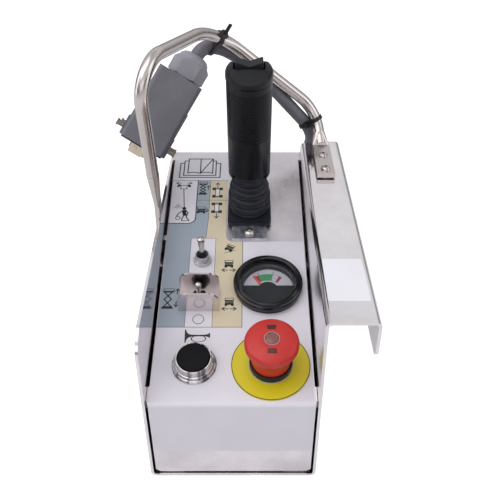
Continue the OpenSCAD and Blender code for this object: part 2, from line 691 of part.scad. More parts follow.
// Black mask over the lower half of the dial, with a bulge over the needle's hub
module gauge_mask() color(black) on_panel(gauge_at, 1.1) linear_extrude(0.7) intersection() {
    circle(case_d / 2 - 1.5);
    union() {
        translate([-30, -60]) square([60, 60]);
        translate([0, -4.6]) circle(8.6);
    }
}

module gauge_glass() color(clear) on_panel(gauge_at, glass_low) cylinder(r = bezel_d / 2 - 4.9, h = 1.6);

// Strap behind the case that clamps the gauge to the panel, with its two nuts
module gauge_clamp() color(zinc) on_panel(gauge_at) {
    r = case_d / 2 + 2.2;
    difference() {
        union() {
            translate([-r - 1.5, -7, -case_depth - 3.6]) cube([2 * r + 3, 14, 1.6]);
            for (s = [-1, 1]) translate([s * (r + 0.75) - 0.75, -7, -case_depth - 3.6])
                cube([1.5, 14, case_depth + 3.6 - cover_sheet]);
        }
        for (s = [-1, 1]) translate([s * 14, 0, -case_depth - 6]) cylinder(d = 4.2, h = 6);
    }
    for (s = [-1, 1]) translate([s * 14, 0, 0]) hex(7, 3.2, 4, -case_depth - 6.8);
}

// U-shaped guard of the front toggle, folded from sheet
module toggle_guard() color(polished) on_panel(front_toggle_at) {
    w = guard_size[0];
    d = guard_size[1];
    h = guard_size[2];
    difference() {
        union() {
            translate([-w / 2, -d / 2 + 1, film]) cube([w, d - 2, guard_sheet]);
            for (s = [-1, 1]) translate([0, s * (d / 2 - guard_sheet / 2) + guard_sheet / 2, 0]) rotate([90, 0, 0])
                linear_extrude(guard_sheet) difference() {
                    translate([-w / 2, film]) square([w, h]);
                    for (m = [0, 1]) mirror([m, 0]) translate([-w / 2, film + h]) mirror([0, 1])
                        corner_cut(guard_corner);
                }
        }
        translate([0, 0, -1]) cylinder(d = bushing_d + 0.4, h = 5);
    }
}

// Body of a toggle under the panel: case, bushing and solder lugs
module toggle_body(top) {
    difference() {
        union() {
            translate([-7, -10, -27]) cube([14, 20, 14]);
            ring(bushing_d / 2, 0, 13 + top, -13);
        }
        translate([0, 0, -8.2]) cylinder(d = 5.8, h = 6.4);
        translate([0, 0, -2]) cylinder(d1 = 5.8, d2 = 10.2, h = top + 2 + eps);
    }
    for (y = [-6, 0, 6]) translate([-1.5, y - 0.4, -33]) cube([3, 0.8, 7]);
}

module front_toggle_body() color(black) on_panel(front_toggle_at) toggle_body(5.6);
module front_toggle_nut() color(zinc) on_panel(front_toggle_at) hex(14, 2.4, bushing_d, film + guard_sheet);
module front_toggle_lever() color(polished) on_panel(front_toggle_at) {
    translate([0, 0, -5]) cylinder(d = 3.6, h = 25);
    translate([0, 0, -5]) sphere(d = 5.6);
    translate([0, 0, 20.3]) sphere(d = 5.6);
}

module rear_toggle_body() color(zinc) on_panel(rear_toggle_at) toggle_body(9);
module rear_toggle_nut() color(zinc) on_panel(rear_toggle_at) {
    ring(8, bushing_d / 2, 0.9, film);
    hex(14, 2.6, bushing_d, film + 0.9);
}
module rear_toggle_lever() color(polished) on_panel(rear_toggle_at) {
    rotate_extrude() polygon([[0, -6], [1.9, -5], [1.9, 6], [1.7, 10], [2.9, 24], [3.1, 27], [2.6, 29],
        [1.4, bat_top - 0.2], [0, bat_top]]);
    translate([0, 0, -5]) sphere(d = 5.6);
}

// Zinc mounting plate under the joystick, open over the boot's neck
module stick_plate() color(zinc) on_panel(stick_at) {
    difference() {
        linear_extrude(2) round_rect(stick_plate_w, 74, 2);
        translate([0, 0, -1]) cylinder(d = 30, h = 4);
        for (s = [-1, 1]) translate([0, s * stick_screw, -1]) cylinder(d = bolt_d + 0.4, h = 4);
    }
}

module stick_screws() color(polished) for (s = [-1, 1]) on_panel([stick_at[0], stick_at[1] + s * stick_screw], 2)
    button_screw(bolt_d, 13);

// Joystick body under the panel, with the cavity that the shaft swings in
module stick_housing() color(black) on_panel(stick_at) difference() {
    translate([-23, -23, -48]) cube([46, 46, 48 - cover_sheet]);
    translate([0, 0, -34]) cylinder(d = 26, h = 36);
    translate([-30, 0, -stick_pivot]) rotate([0, 90, 0]) cylinder(d = 6.2, h = 60);
}

module boot_frame() color(rubber) on_panel(stick_at, 2) difference() {
    union() {
        linear_extrude(3.4) round_rect(boot_frame_size[0], boot_frame_size[1], 3.8);
        linear_extrude(4.4) round_rect(boot_frame_size[0] - 1.6, boot_frame_size[1] - 1.6, 3.2);
        translate([0, 0, 4.4]) cylinder(d = boot_d - 1, h = 2.2);
    }
    translate([0, 0, -1]) cylinder(d = 30, h = 10);
}

// Rubber bellows between the frame and the grip: five folds that get smaller towards the top
boot_low = 9.2;
fold = 7.4;
boot_shrink = [0, 0.2, 1.6, 3.4, 5.2];
module boot() color(rubber) on_panel(stick_at) {
    big = boot_d / 2;
    small = big - 2.2;
    wall = 1.4;
    top = boot_low + len(boot_shrink) * fold;
    outer = [for (i = [0 : 4]) for (q = [[small, 0], [big - 0.6, 1.6], [big, 3.2], [big - 0.2, 4.8], [big - 0.9, 6]])
        [q[0] - boot_shrink[i], boot_low + i * fold + q[1]]];
    inside = [for (i = [4 : -1 : 0]) for (q = [[big - 2.2, 4], [big - 1.9, 3], [small - wall, 0.4]])
        [q[0] - boot_shrink[i], boot_low + i * fold + q[1]]];
    rotate_extrude() polygon(concat(outer, [[12.6, top + 0.6], [12.4, grip_low - 0.3],
        [10.6, grip_low - 0.3], [10.6, top - 1]], inside, [[small - wall, boot_low]]));
}

// Steel shaft of the joystick, with the cross pin that it swings on
module stick_shaft() color(polished) on_panel(stick_at) {
    translate([0, 0, -26]) cylinder(d = 10, h = grip_low + 26 + 70);
    translate([0, 0, -stick_pivot]) sphere(d = 17);
    translate([-22, 0, -stick_pivot]) rotate([0, 90, 0]) cylinder(d = 6, h = 44);
}

// Grip: plain foot, ribbed middle and plain top, open at the back for the trigger
module stick_grip() color(rubber) on_panel(stick_at) {
    r = grip_d / 2;
    ribs = [for (i = [0 : grip_ribs - 1]) for (q = [[r, 0], [r, rib_pitch * 0.62], [r - 0.4, rib_pitch * 0.72],
        [r - 0.4, rib_pitch * 0.92]]) [q[0], rib_low + i * rib_pitch + q[1]]];
    difference() {
        rotate_extrude() polygon(concat([[5.1, grip_low], [r - 0.9, grip_low], [r - 0.2, grip_low + 0.8],
            [r, grip_low + 2], [r, rib_low - 1.2], [r - 0.4, rib_low - 1], [r - 0.4, rib_low - 0.2]], ribs,
            [[r, rib_low + grip_ribs * rib_pitch], [r, grip_seam - 0.7], [r - 0.6, grip_seam - 0.2],
            [5.1, grip_seam - 0.2]]));
        // slot and pin hole of the enable trigger, on the far side
        translate([-7.3, 6.5, 92]) cube([14.6, 20, 47]);
        translate([-13, 11, 134]) rotate([0, 90, 0]) cylinder(d = 3.2, h = 26);
        // two slots in the foot's rim
        for (a = [-43, 43]) rotate(a) translate([-2.6, -r - 1, grip_low - 1]) cube([5.2, 3.6, 3.8]);
    }
}

// Trigger behind the grip, with its pin
module stick_trigger() color(rubber) on_panel(stick_at) {
    along_trigger() polygon([[134, 7.5], [137.4, 9], [138, 12], [136.6, 17], [131, 20.5], [120, 22.6],
        [108, 22.4], [99, 20.6], [95.6, 18], [96, 13.4], [100, 12.4], [118, 12.6], [128, 8.6]]);
    translate([-12.6, 11, 134]) rotate([0, 90, 0]) cylinder(d = 3, h = 25.2);
}

// Draws a profile given as [height, depth] across the trigger's width
module along_trigger() translate([-7, 0, 0]) rotate([90, 0, 90]) linear_extrude(14) mirror([1, -1]) children();

// Head: rounded rim, flat slanted face in front and the slot of the rocker
module stick_head() color(black) on_panel(stick_at) {
    r = grip_d / 2 + 0.45;
    difference() {
        rotate_extrude() polygon([[0, grip_seam + 0.2], [r - 1, grip_seam + 0.2], [r - 0.2, grip_seam + 0.8],
            [r, grip_seam + 1.8], [r, head_top - 5], [r - 0.5, head_top - 3], [r - 1.6, head_top - 1.4],
            [r - 3.4, head_top - 0.4], [r - 5, head_top], [0, head_top]]);
        // slanted flat in front
        translate([-30, -9.5, head_top + 0.4]) rotate([-38, 0, 0]) translate([0, -30, 0]) cube([60, 30, 20]);
        // rocker slot and its pin hole
        translate([-12.6, -6.4, head_top - 7.6]) cube([25.2, 12.8, 20]);
        translate([0, -10, head_top - 4.8]) rotate([-90, 0, 0]) cylinder(d = 3.2, h = 22);
    }
}

// Thumb rocker with two raised ends, and its pin
module stick_rocker() color(rubber) on_panel(stick_at, head_top - 4.8) {
    translate([0, 5.8, 0]) rotate([90, 0, 0]) linear_extrude(11.6) difference() {
        polygon([[-11.2, 2], [-5.4, -1.2], [5.4, -1.2], [11.2, 2], [11.5, 7.2], [10.9, 8.6], [9.2, 8.8],
            [0, 4], [-9.2, 8.8], [-10.9, 8.6], [-11.5, 7.2]]);
        circle(1.6);
    }
}
module rocker_pin() color(polished) on_panel(stick_at, head_top - 4.8) translate([0, -8.6, 0])
    rotate([-90, 0, 0]) cylinder(d = 3, h = 18.4);

// Cable gland on the back wall: body with flange, lock nut inside, dome nut outside
module back_gland() color(grey) translate([gland_at[0], cover_back, gland_at[1]]) rotate([-90, 0, 0]) {
    rotate_extrude() polygon([[cable_d / 2 + 0.1, -10], [10, -10], [10, 0], [14, 0], [14, 1.6],
        [cable_d / 2 + 0.1, 1.6]]);
    hex(27, 6, cable_d + 0.2, 1.6);
    rotate_extrude() polygon([[cable_d / 2 + 0.1, 7.6], [12.4, 7.6], [12.4, 14], [11, 17.6], [8.4, 20],
        [cable_d / 2 + 0.1, 20]]);
}
module gland_nut() color(grey) translate([gland_at[0], cover_back - cover_sheet, gland_at[1]]) rotate([90, 0, 0])
    hex(25, 4.6, 20);

module cable() color(grey) swept(cable_path, cable_bend, cable_d / 2);

// Loop of a cable tie round the tube at a and the cable at b, square to the direction d
module tie_loop(a, b, ra, rb, d, th) {
    linear_extrude(d, center = true) difference() {
        hull() {
            translate(a) circle(ra + th, $fn = 32);
            translate(b) circle(rb + th, $fn = 32);
        }
        translate(a) circle(ra + 0.05);
        translate(b) circle(rb + 0.05);
        translate(a) rotate(atan2(b[1] - a[1], b[0] - a[0])) translate([0, -1.2]) square([norm(b - a), 2.4]);
    }
}

// Places a tie: z along the tube at p, x from the tube to the cable at q
module tie_frame(p, q, along) {
    x = unit(q - p - along * ((q - p) * along));
    y = cross(along, x);
    multmatrix([[x[0], y[0], along[0], p[0]], [x[1], y[1], along[1], p[1]], [x[2], y[2], along[2], p[2]]])
        children();
}

// Tie near the plug, with its head on the tube's upper side and its tail sticking up
tie1_tube = [-13.3, 114.3, 270.2];
tie1_cable = [-22.5, 121.9, 259.8];
tie1_dir = unit([0.81, 0.47, -0.35]);
module tie_upper() color(black) difference() {
    tie_frame(tie1_tube, tie1_cable, tie1_dir) {
        gap = norm(cross(tie1_cable - tie1_tube, tie1_dir));
        tie_loop([0, 0], [gap, 0], tube_d / 2, cable_d / 2, 3.6, 1.3);
        translate([-tube_d / 2 - 4.4, -4, -2.6]) cube([4, 6.4, 5.2]);
        translate([-tube_d / 2 - 3.4, -0.6, -1.6]) rotate([0, 0, 160]) cube([10.5, 1.2, 3]);
    }
    swept(cable_path, cable_bend, cable_d / 2 + 0.12);
    swept(tube_path, tube_bend, tube_d / 2 + 0.12);
}

// Tie behind the hook, with its head between the tube and the cable
tie2_tube = [77.1, 127.7, 187.3];
tie2_cable = [68.3, 131.4, 180.8];
tie2_dir = unit([0.492, -0.271, -0.828]);
module tie_lower() color(black) difference() {
    tie_frame(tie2_tube, tie2_cable, tie2_dir) {
        gap = norm(cross(tie2_cable - tie2_tube, tie2_dir));
        tie_loop([0, 0], [gap, 0], tube_d / 2, cable_d / 2, 3.6, 1.3);
        translate([gap / 2 - 2.8, -10.4, -3]) cube([6, 4.2, 6]);
        translate([gap / 2 - 0.6, -16, -1.8]) cube([1.2, 6, 3.6]);
    }
    swept(cable_path, cable_bend, cable_d / 2 + 0.12);
    swept(tube_path, tube_bend, tube_d / 2 + 0.12);
}

// Plug hood: rounded box, open at its lower end, with a step and guide ribs near the opening
module hood() color(grey) on_hood() {
    w = hood_size[0];
    h = hood_size[1];
    d = hood_size[2];
    difference() {
        union() {
            translate([0, h / 2, -d / 2]) rotate([90, 0, 0]) linear_extrude(h) round_rect(w, d, 3.4);
            for (s = [-1, 1]) {
                translate([s * (w / 2 + 0.5) - 0.5, -h / 2 + 10, -d / 2 - 14]) cube([1, 34, 28]);
                translate([s * (w / 2 + 0.9) - 0.9, -h / 2, -d / 2 - 20]) cube([1.8, 18, 40]);
            }
        }
        translate([0, -hood_wall, 0]) translate([0, h / 2, -d / 2]) rotate([90, 0, 0])
            linear_extrude(h + 1) round_rect(w - 2 * hood_wall, d - 2 * hood_wall, 2);
        translate([2, h / 2 + 1, -24]) rotate([90, 0, 0]) cylinder(d = 20.4, h = 10);
    }
}

// Four locking pegs on the hood's two long sides
module hood_pegs() color(polished) on_hood()
    for (s = [-1, 1], z = [-8, -hood_size[2] + 8]) translate([s * (hood_size[0] / 2 + 1.8), -27, z])
        rotate([0, s * 90, 0]) {
            cylinder(d = 5, h = 6.4);
            translate([0, 0, 4.8]) cylinder(d = 6.2, h = 1.6);
        }

module hood_seal() color(black) on_hood() translate([0, -hood_size[1] / 2, -hood_size[2] / 2]) rotate([90, 0, 0])
    linear_extrude(1.4) difference() {
        round_rect(hood_size[0] - 2, hood_size[2] - 2, 2.4);
        round_rect(hood_size[0] - 2 * hood_wall, hood_size[2] - 2 * hood_wall, 2);
    }

// Contact insert with its two earth clips and their screws
module hood_insert() color(pale_grey) on_hood() {
    x = hood_size[0] - 2 * hood_wall - 0.8;
    z = hood_size[2] - 2 * hood_wall - 0.8;
    low = hood_size[1] / 2;
    difference() {
        union() {
            translate([-x / 2, -low + 0.2, -hood_size[2] / 2 - z / 2]) cube([x, 18, z]);
            translate([-10, -low - 6, -hood_size[2] / 2 - z / 2 + 5]) cube([20, 7, z - 10]);
        }
        for (s = [-1, 1], k = [0 : 4]) translate([s * 5, -low - 7, -hood_size[2] / 2 - 12 + 6 * k])
            rotate([-90, 0, 0]) cylinder(d = 2.6, h = 12);
    }
}
module hood_clips() color(zinc) on_hood() {
    low = hood_size[1] / 2;
    for (s = [-1, 1]) translate([-9, -low - 10, -hood_size[2] / 2 + s * 18.6 - 0.8]) {
        cube([13, 10.1, 1.6]);
        translate([4, 4, s > 0 ? 1.6 : -1.8]) cylinder(d = 5, h = 1.8);
    }
}
module hood_pins() color(polished) on_hood() {
    low = hood_size[1] / 2;
    for (s = [-1, 1], k = [0 : 4]) translate([s * 5, -low - 9.4, -hood_size[2] / 2 - 12 + 6 * k])
        rotate([-90, 0, 0]) cylinder(d = 2.4, h = 14);
}

// Gland on the hood's top: threaded body, hexagon and domed cap
module hood_gland() color(pale_grey) on_hood() translate([2, hood_size[1] / 2, -24]) rotate([-90, 0, 0]) {
    af = 30;
    difference() {
        union() {
            translate([0, 0, -hood_wall - 3]) cylinder(d = 20, h = hood_wall + 4);
            cylinder(d = af - 1, h = 1.4);
            intersection() {
                translate([0, 0, 1.4]) cylinder(d = af / cos(30), h = 17, $fn = 6);
                rotate_extrude() polygon([[0, 1.4], [af / 2 + 1, 1.4], [af / 2 + 2.6, 2.6], [af / 2 + 2.6, 14],
                    [af / 2, 17], [0, 18]]);
            }
            rotate_extrude() polygon([[0, 15], [14.4, 15], [14.4, 17.4], [13.2, 20.2], [11, 22.4], [8.4, 23.6],
                [0, 23.6]]);
        }
        translate([0, 0, -10]) cylinder(d = cable_d + 0.5, h = 40);
    }
}

shell();
cover();
cover_brackets();
cover_screws();
overlay();
guard_tube();
guard_washers();
guard_screws();
guard_nuts();
stop_legend();
stop_seal();
stop_body();
stop_nut();
stop_contacts();
stop_stem();
stop_head();
stop_windows();
stop_lens();
stop_lens_ring();
horn_bezel();
horn_nut();
horn_contacts();
horn_cap();
gauge_case();
gauge_bezel();
gauge_dial();
gauge_needle();
gauge_mask();
gauge_glass();
gauge_clamp();
toggle_guard();
front_toggle_body();
front_toggle_nut();
front_toggle_lever();
rear_toggle_body();
rear_toggle_nut();
rear_toggle_lever();
stick_plate();
stick_screws();
stick_housing();
boot_frame();
boot();
stick_shaft();
stick_grip();
stick_trigger();
stick_head();
stick_rocker();
rocker_pin();
back_gland();
gland_nut();
cable();
tie_upper();
tie_lower();
hood();
hood_pegs();
hood_seal();
hood_insert();
hood_clips();
hood_pins();
hood_gland();
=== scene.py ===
"""Looks of the platform control box: materials, printed overlay, small details, light and camera."""
import json
import math

import bmesh
import bpy
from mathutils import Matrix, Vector


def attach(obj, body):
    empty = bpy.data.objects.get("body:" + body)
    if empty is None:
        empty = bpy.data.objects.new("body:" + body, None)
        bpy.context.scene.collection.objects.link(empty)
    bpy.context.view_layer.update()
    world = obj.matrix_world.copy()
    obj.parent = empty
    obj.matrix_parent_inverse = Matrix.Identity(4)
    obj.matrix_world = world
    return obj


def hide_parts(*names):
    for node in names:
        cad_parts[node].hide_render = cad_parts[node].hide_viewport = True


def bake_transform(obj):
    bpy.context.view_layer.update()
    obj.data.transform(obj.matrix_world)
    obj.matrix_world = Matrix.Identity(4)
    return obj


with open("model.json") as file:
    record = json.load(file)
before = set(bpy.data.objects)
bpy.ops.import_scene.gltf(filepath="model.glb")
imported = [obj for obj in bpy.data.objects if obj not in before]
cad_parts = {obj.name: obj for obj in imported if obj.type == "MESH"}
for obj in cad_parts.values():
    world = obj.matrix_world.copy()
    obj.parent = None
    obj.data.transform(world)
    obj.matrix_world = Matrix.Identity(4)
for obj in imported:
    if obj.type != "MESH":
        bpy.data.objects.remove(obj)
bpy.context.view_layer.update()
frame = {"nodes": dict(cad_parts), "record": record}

# Sizes of the model that the looks are fitted to, in millimetres
MM = 0.001
SLOPE = math.radians(13)
COVER_FRONT = 138.9
FRONT_HEIGHT = 82.4
FILM = 0.35
FILM_HALF = 61.3
HOOK_TOP = 164.5
STOP_AT = (29.3, 33.4)
GAUGE_AT = (28.5, 110.0)
STICK_AT = (12.8, 200.5)
BOX = "control_box"

# How far prints lie over the film, in the order in which they cover each other
FIELD_LIFT = 0.02
LINE_LIFT = 0.04
SIGN_LIFT = 0.05
TOP_LIFT = 0.06


def panel(u, w, t=0.0):
    """A point over the sloping panel: u across, w up the slope and t out of it, all in millimetres."""
    return Vector((u, -COVER_FRONT + w * math.cos(SLOPE) - t * math.sin(SLOPE),
                   FRONT_HEIGHT + w * math.sin(SLOPE) + t * math.cos(SLOPE))) * MM


def linear(value):
    value /= 255
    return value / 12.92 if value <= 0.04045 else ((value + 0.055) / 1.055) ** 2.4


def colour(red, green, blue):
    """A colour written as it shows on screen, turned into Blender's own."""
    return (linear(red), linear(green), linear(blue), 1.0)


# Materials
class Maker:
    """Builds one procedural material round its main shader."""

    def __init__(self, name, **values):
        self.mat = bpy.data.materials.new(name)
        self.mat.use_nodes = True
        self.tree = self.mat.node_tree
        self.shader = self.tree.nodes["Principled BSDF"]
        for key, value in values.items():
            self.shader.inputs[key.replace("_", " ")].default_value = value

    def node(self, kind, **settings):
        made = self.tree.nodes.new(kind)
        for key, value in settings.items():
            setattr(made, key, value)
        return made

    def link(self, source, target):
        self.tree.links.new(source, target)

    def noise(self, scale, detail=3.0, roughness=0.5, stretch=(1, 1, 1), turn=(0, 0, 0)):
        """Noise over the object's own coordinates, with scale in features per metre."""
        place = self.node("ShaderNodeTexCoord")
        mapping = self.node("ShaderNodeMapping")
        mapping.inputs["Scale"].default_value = stretch
        mapping.inputs["Rotation"].default_value = turn
        made = self.node("ShaderNodeTexNoise")
        made.inputs["Scale"].default_value = scale
        made.inputs["Detail"].default_value = detail
        made.inputs["Roughness"].default_value = roughness
        self.link(place.outputs["Object"], mapping.inputs["Vector"])
        self.link(mapping.outputs["Vector"], made.inputs["Vector"])
        return made.outputs["Fac"]

    def spread(self, source, low, high, start=0.3, end=0.7):
        """Maps a texture's middle range to values from low to high."""
        made = self.node("ShaderNodeMapRange")
        made.inputs["From Min"].default_value = start
        made.inputs["From Max"].default_value = end
        made.inputs["To Min"].default_value = low
        made.inputs["To Max"].default_value = high
        self.link(source, made.inputs["Value"])
        return made.outputs["Result"]

    def blend_colours(self, source, first, second, start=0.35, end=0.65):
        ramp = self.node("ShaderNodeValToRGB")
        ramp.color_ramp.elements[0].position = start
        ramp.color_ramp.elements[0].color = first
        ramp.color_ramp.elements[1].position = end
        ramp.color_ramp.elements[1].color = second
        self.link(source, ramp.inputs["Fac"])
        self.link(ramp.outputs["Color"], self.shader.inputs["Base Color"])

    def rough(self, source):
        self.link(source, self.shader.inputs["Roughness"])

    def bump(self, source, depth, strength=1.0):
        """Raises the surface by up to depth millimetres."""
        made = self.node("ShaderNodeBump")
        made.inputs["Strength"].default_value = strength
        made.inputs["Distance"].default_value = depth * MM
        self.link(source, made.inputs["Height"])
        self.link(made.outputs["Normal"], self.shader.inputs["Normal"])


def sheet(name, first, second, low, high):
    """Bare steel sheet: cloudy tone, soft mottling and hardly any grain."""
    made = Maker(name, Metallic=1.0)
    made.blend_colours(made.noise(26, 4, 0.6), first, second)
    made.rough(made.spread(made.noise(260, 4, 0.6, (1, 0.4, 1)), low, high))
    made.bump(made.noise(60, 3, 0.5), 0.012, 0.12)
    return made.mat


def plastic(name, first, second, low, high, grain=900, depth=0.02, **values):
    """Moulded plastic or rubber: slightly uneven tone and a fine grain."""
    made = Maker(name, **values)
    made.blend_colours(made.noise(40, 3), first, second)
    made.rough(made.spread(made.noise(120, 3), low, high))
    made.bump(made.noise(grain, 3, 0.6), depth, 0.5)
    return made.mat


def metal(name, first, second, low, high, scale=60, depth=0.01):
    """Plated or polished steel with faint smears."""
    made = Maker(name, Metallic=1.0)
    made.blend_colours(made.noise(scale, 4, 0.6), first, second)
    made.rough(made.spread(made.noise(scale * 2, 4, 0.6), low, high))
    made.bump(made.noise(70, 2), depth, 0.1)
    return made.mat


def painted_reflection_metal(name, first, second, low, high):
    """Turned steel with painted reflections: bright and dark bands painted up its wall in place of reflected
    light.
    """
    made = Maker(name, Metallic=1.0)
    made.blend_colours(made.noise(190, 2, 0.6, (1, 1, 0.04)), first, second, 0.4, 0.58)
    made.rough(made.spread(made.noise(190, 2, 0.6, (1, 1, 0.04)), low, high))
    return made.mat


def printed(name, tone, low=0.38, high=0.46):
    """Ink on the film: an even tone with the film's own slight texture."""
    red, green, blue, alpha = tone
    made = Maker(name)
    made.blend_colours(made.noise(30, 2), (red * 0.97, green * 0.97, blue * 0.97, alpha), tone)
    made.rough(made.spread(made.noise(160, 2), low, high))
    made.bump(made.noise(1500, 2), 0.008, 0.3)
    return made.mat


def clear(name, tone, opacity, roughness):
    made = Maker(name, Roughness=roughness, Alpha=opacity)
    made.blend_colours(made.noise(60, 2), tone, tone)
    made.rough(made.spread(made.noise(200, 2), roughness, roughness * 2 + 0.01))
    return made.mat


LOOKS = {
    "shell_metal": sheet("side_steel", colour(228, 224, 227), colour(240, 237, 239), 0.09, 0.15),
    "polished_steel": metal("satin_steel", colour(196, 189, 186), colour(206, 199, 196), 0.2, 0.25, 12),
    "screw_steel": metal("screw_steel", colour(186, 180, 176), colour(208, 202, 198), 0.2, 0.3),
    "zinc": metal("zinc_plate", colour(160, 162, 176), colour(206, 206, 216), 0.3, 0.46, 180, 0.02),
    "chrome": metal("brushed_ring", colour(196, 192, 190), colour(214, 210, 208), 0.2, 0.28),
    "printed_film": printed("film_white", colour(226, 223, 232)),
    "yellow_disc": printed("disc_yellow", colour(218, 202, 26)),
    "clear_plastic": clear("clear_plastic", colour(235, 228, 230), 0.35, 0.08),
    "clear_glass": clear("gauge_glass", colour(230, 234, 238), 0.02, 0.04),
    "black_plastic": plastic("black_plastic", colour(14, 15, 20), colour(20, 21, 27), 0.32, 0.42,
                             Specular_IOR_Level=0.3),
    "grey_plastic": plastic("grey_plastic", colour(100, 99, 106), colour(110, 109, 116), 0.4, 0.5),
    "red_plastic": plastic("red_plastic", colour(188, 36, 32), colour(198, 44, 38), 0.36, 0.46, 700, 0.004),
    "dial_face": printed("dial_face", colour(186, 184, 196)),
    "black_rubber": plastic("black_rubber", colour(27, 30, 39), colour(32, 35, 45), 0.4, 0.46, 400, 0.001,
                            Specular_IOR_Level=0.3),
    "grip_plastic": plastic("grip_plastic", colour(9, 11, 17), colour(14, 16, 23), 0.3, 0.38, 1100, 0.004,
                            Specular_IOR_Level=0.26),
    "cable_jacket": plastic("cable_jacket", colour(96, 95, 102), colour(108, 107, 114), 0.42, 0.55, 500),
    "tie_plastic": plastic("tie_plastic", colour(20, 20, 23), colour(27, 27, 31), 0.35, 0.45),
    "hood_plastic": plastic("hood_plastic", colour(99, 99, 107), colour(109, 109, 117), 0.4, 0.5, 600),
    "gland_plastic": plastic("gland_plastic", colour(138, 137, 146), colour(150, 149, 158), 0.38, 0.5, 600),
}
# Nodes that look other than the rest of their slot
OWN_LOOKS = {
    "cover": sheet("cover_steel", colour(218, 213, 217), colour(238, 233, 237), 0.26, 0.38),
    "horn_cap": plastic("matt_black", colour(9, 10, 15), colour(13, 14, 19), 0.5, 0.6,
                        Specular_IOR_Level=0.15),
    "gauge_mask": plastic("mask_black", colour(10, 12, 18), colour(14, 16, 22), 0.55, 0.65,
                          Specular_IOR_Level=0.1),
    "gauge_needle": plastic("needle_red", colour(206, 52, 36), colour(214, 60, 42), 0.45, 0.55),
    "stop_windows": plastic("window_brown", colour(70, 28, 24), colour(82, 34, 28), 0.3, 0.4),
    "hood_insert": plastic("insert_grey", colour(118, 110, 102), colour(132, 124, 116), 0.3, 0.4),
    "stop_lens": plastic("lens_red", colour(122, 74, 72), colour(146, 94, 92), 0.1, 0.16),
    "stop_lens_ring": plastic("ring_rose", colour(168, 130, 128), colour(180, 142, 140), 0.25, 0.35),
    # Horn bezel: bright and dark bands painted into its colour, as painted reflections on its wall
    "horn_bezel": painted_reflection_metal("ring_painted_reflections", colour(112, 109, 111), colour(212, 208, 209), 0.24, 0.34),
    "toggle_guard": metal("guard_steel", colour(218, 210, 210), colour(230, 222, 222), 0.16, 0.22, 12),
    "front_toggle_nut": metal("dark_nut", colour(34, 34, 38), colour(46, 46, 50), 0.35, 0.45),
    "hood_clips": metal("clip_nickel", colour(164, 154, 140), colour(190, 180, 166), 0.24, 0.34),
    "hood_pegs": metal("peg_steel", colour(120, 114, 108), colour(146, 140, 132), 0.25, 0.35),
    "gauge_bezel": plastic("bezel_black", colour(8, 8, 11), colour(12, 12, 15), 0.12, 0.2, 700, 0.002,
                           Specular_IOR_Level=0.4),
}
INKS = {
    "blue": printed("ink_blue_grey", colour(160, 172, 184)),
    "beige": printed("ink_beige", colour(216, 203, 176)),
    "black": printed("ink_black", colour(22, 24, 30)),
    "line": printed("ink_line", colour(84, 86, 94)),
    "white": printed("ink_white", colour(230, 227, 234)),
    "rim": printed("ink_rim", colour(88, 80, 30)),
    "green": printed("dial_green", colour(40, 140, 84)),
    "dark_red": printed("dial_dark_red", colour(140, 30, 36)),
    "label": printed("label_white", colour(232, 231, 238), 0.5, 0.6),
}


def dress_nodes():
    """Gives each CAD node the look of its material slot."""
    for part in frame["record"]["subparts"]:
        node = frame["nodes"][part["node"]]
        node.data.materials.clear()
        node.data.materials.append(OWN_LOOKS.get(part["node"]) or LOOKS[part["material_slot"]])


# Sharp-edged nodes and the width of their roundings
EDGE_WIDTHS = (("cover", 0.3), ("shell", 0.4), ("hood", 0.7), ("toggle_guard", 0.3), ("stick_plate", 0.3),
               ("boot_frame", 0.4), ("hood_gland", 0.4), ("back_gland", 0.4))
SHARP = 40


def soften_edges():
    """Rounds the sharp edges of sheet and moulded pieces a little, so that they catch the light."""
    for name, width in EDGE_WIDTHS:
        edge = frame["nodes"][name].modifiers.new("edge", "BEVEL")
        edge.width = width * MM
        edge.segments = 2
        edge.limit_method = "ANGLE"
        edge.angle_limit = math.radians(SHARP)
        edge.harden_normals = True


# Flat print and small pieces
def mesh_piece(name, points, faces, look, body=BOX, smooth=False):
    mesh = bpy.data.meshes.new(name)
    mesh.from_pydata(points, [], faces)
    mesh.validate()
    if smooth:
        mesh.polygons.foreach_set("use_smooth", [True] * len(mesh.polygons))
    mesh.materials.append(look)
    piece = bpy.data.objects.new(name, mesh)
    bpy.context.scene.collection.objects.link(piece)
    if body:
        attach(piece, body)
    return piece


def arc(centre, radius, start, end, steps=16, squeeze=1.0):
    """Points on an arc, angles in degrees, squeezed along w."""
    turn = [math.radians(start + (end - start) * k / steps) for k in range(steps + 1)]
    return [(centre[0] + radius * math.cos(a), centre[1] + radius * squeeze * math.sin(a)) for a in turn]


def stroke(a, b, width, reach=0.5):
    """A straight stroke as a rectangle, longer by reach widths at each end."""
    along = Vector((b[0] - a[0], b[1] - a[1])).normalized()
    side = Vector((-along.y, along.x)) * width / 2
    along *= width * reach
    first, last = Vector(a) - along, Vector(b) + along
    return [tuple(first - side), tuple(last - side), tuple(last + side), tuple(first + side)]


def line(points, width, closed=False):
    """Strokes through all the points."""
    ends = list(points[1:]) + ([points[0]] if closed else [])
    return [stroke(a, b, width) for a, b in zip(points, ends)]


def band(centre, inside, outside, start=0, end=360, steps=48, squeeze=1.0):
    """An arc with a width, as one quad for each step."""
    low = arc(centre, inside, start, end, steps, squeeze)
    high = arc(centre, outside, start, end, steps, squeeze)
    return [[low[k], high[k], high[k + 1], low[k + 1]] for k in range(steps)]


def arrow(tail, tip, width=0.55, head=2.6):
    """A thin arrow."""
    along = (Vector(tip) - Vector(tail)).normalized()
    side = Vector((-along.y, along.x))
    neck = Vector(tip) - along * head
    barbs = [stroke(tuple(neck + side * s * head * 0.75), tip, width) for s in (-1, 1)]
    return [stroke(tail, tip, width, 0)] + barbs


def block(u0, w0, u1, w1):
    return [(u0, w0), (u1, w0), (u1, w1), (u0, w1)]


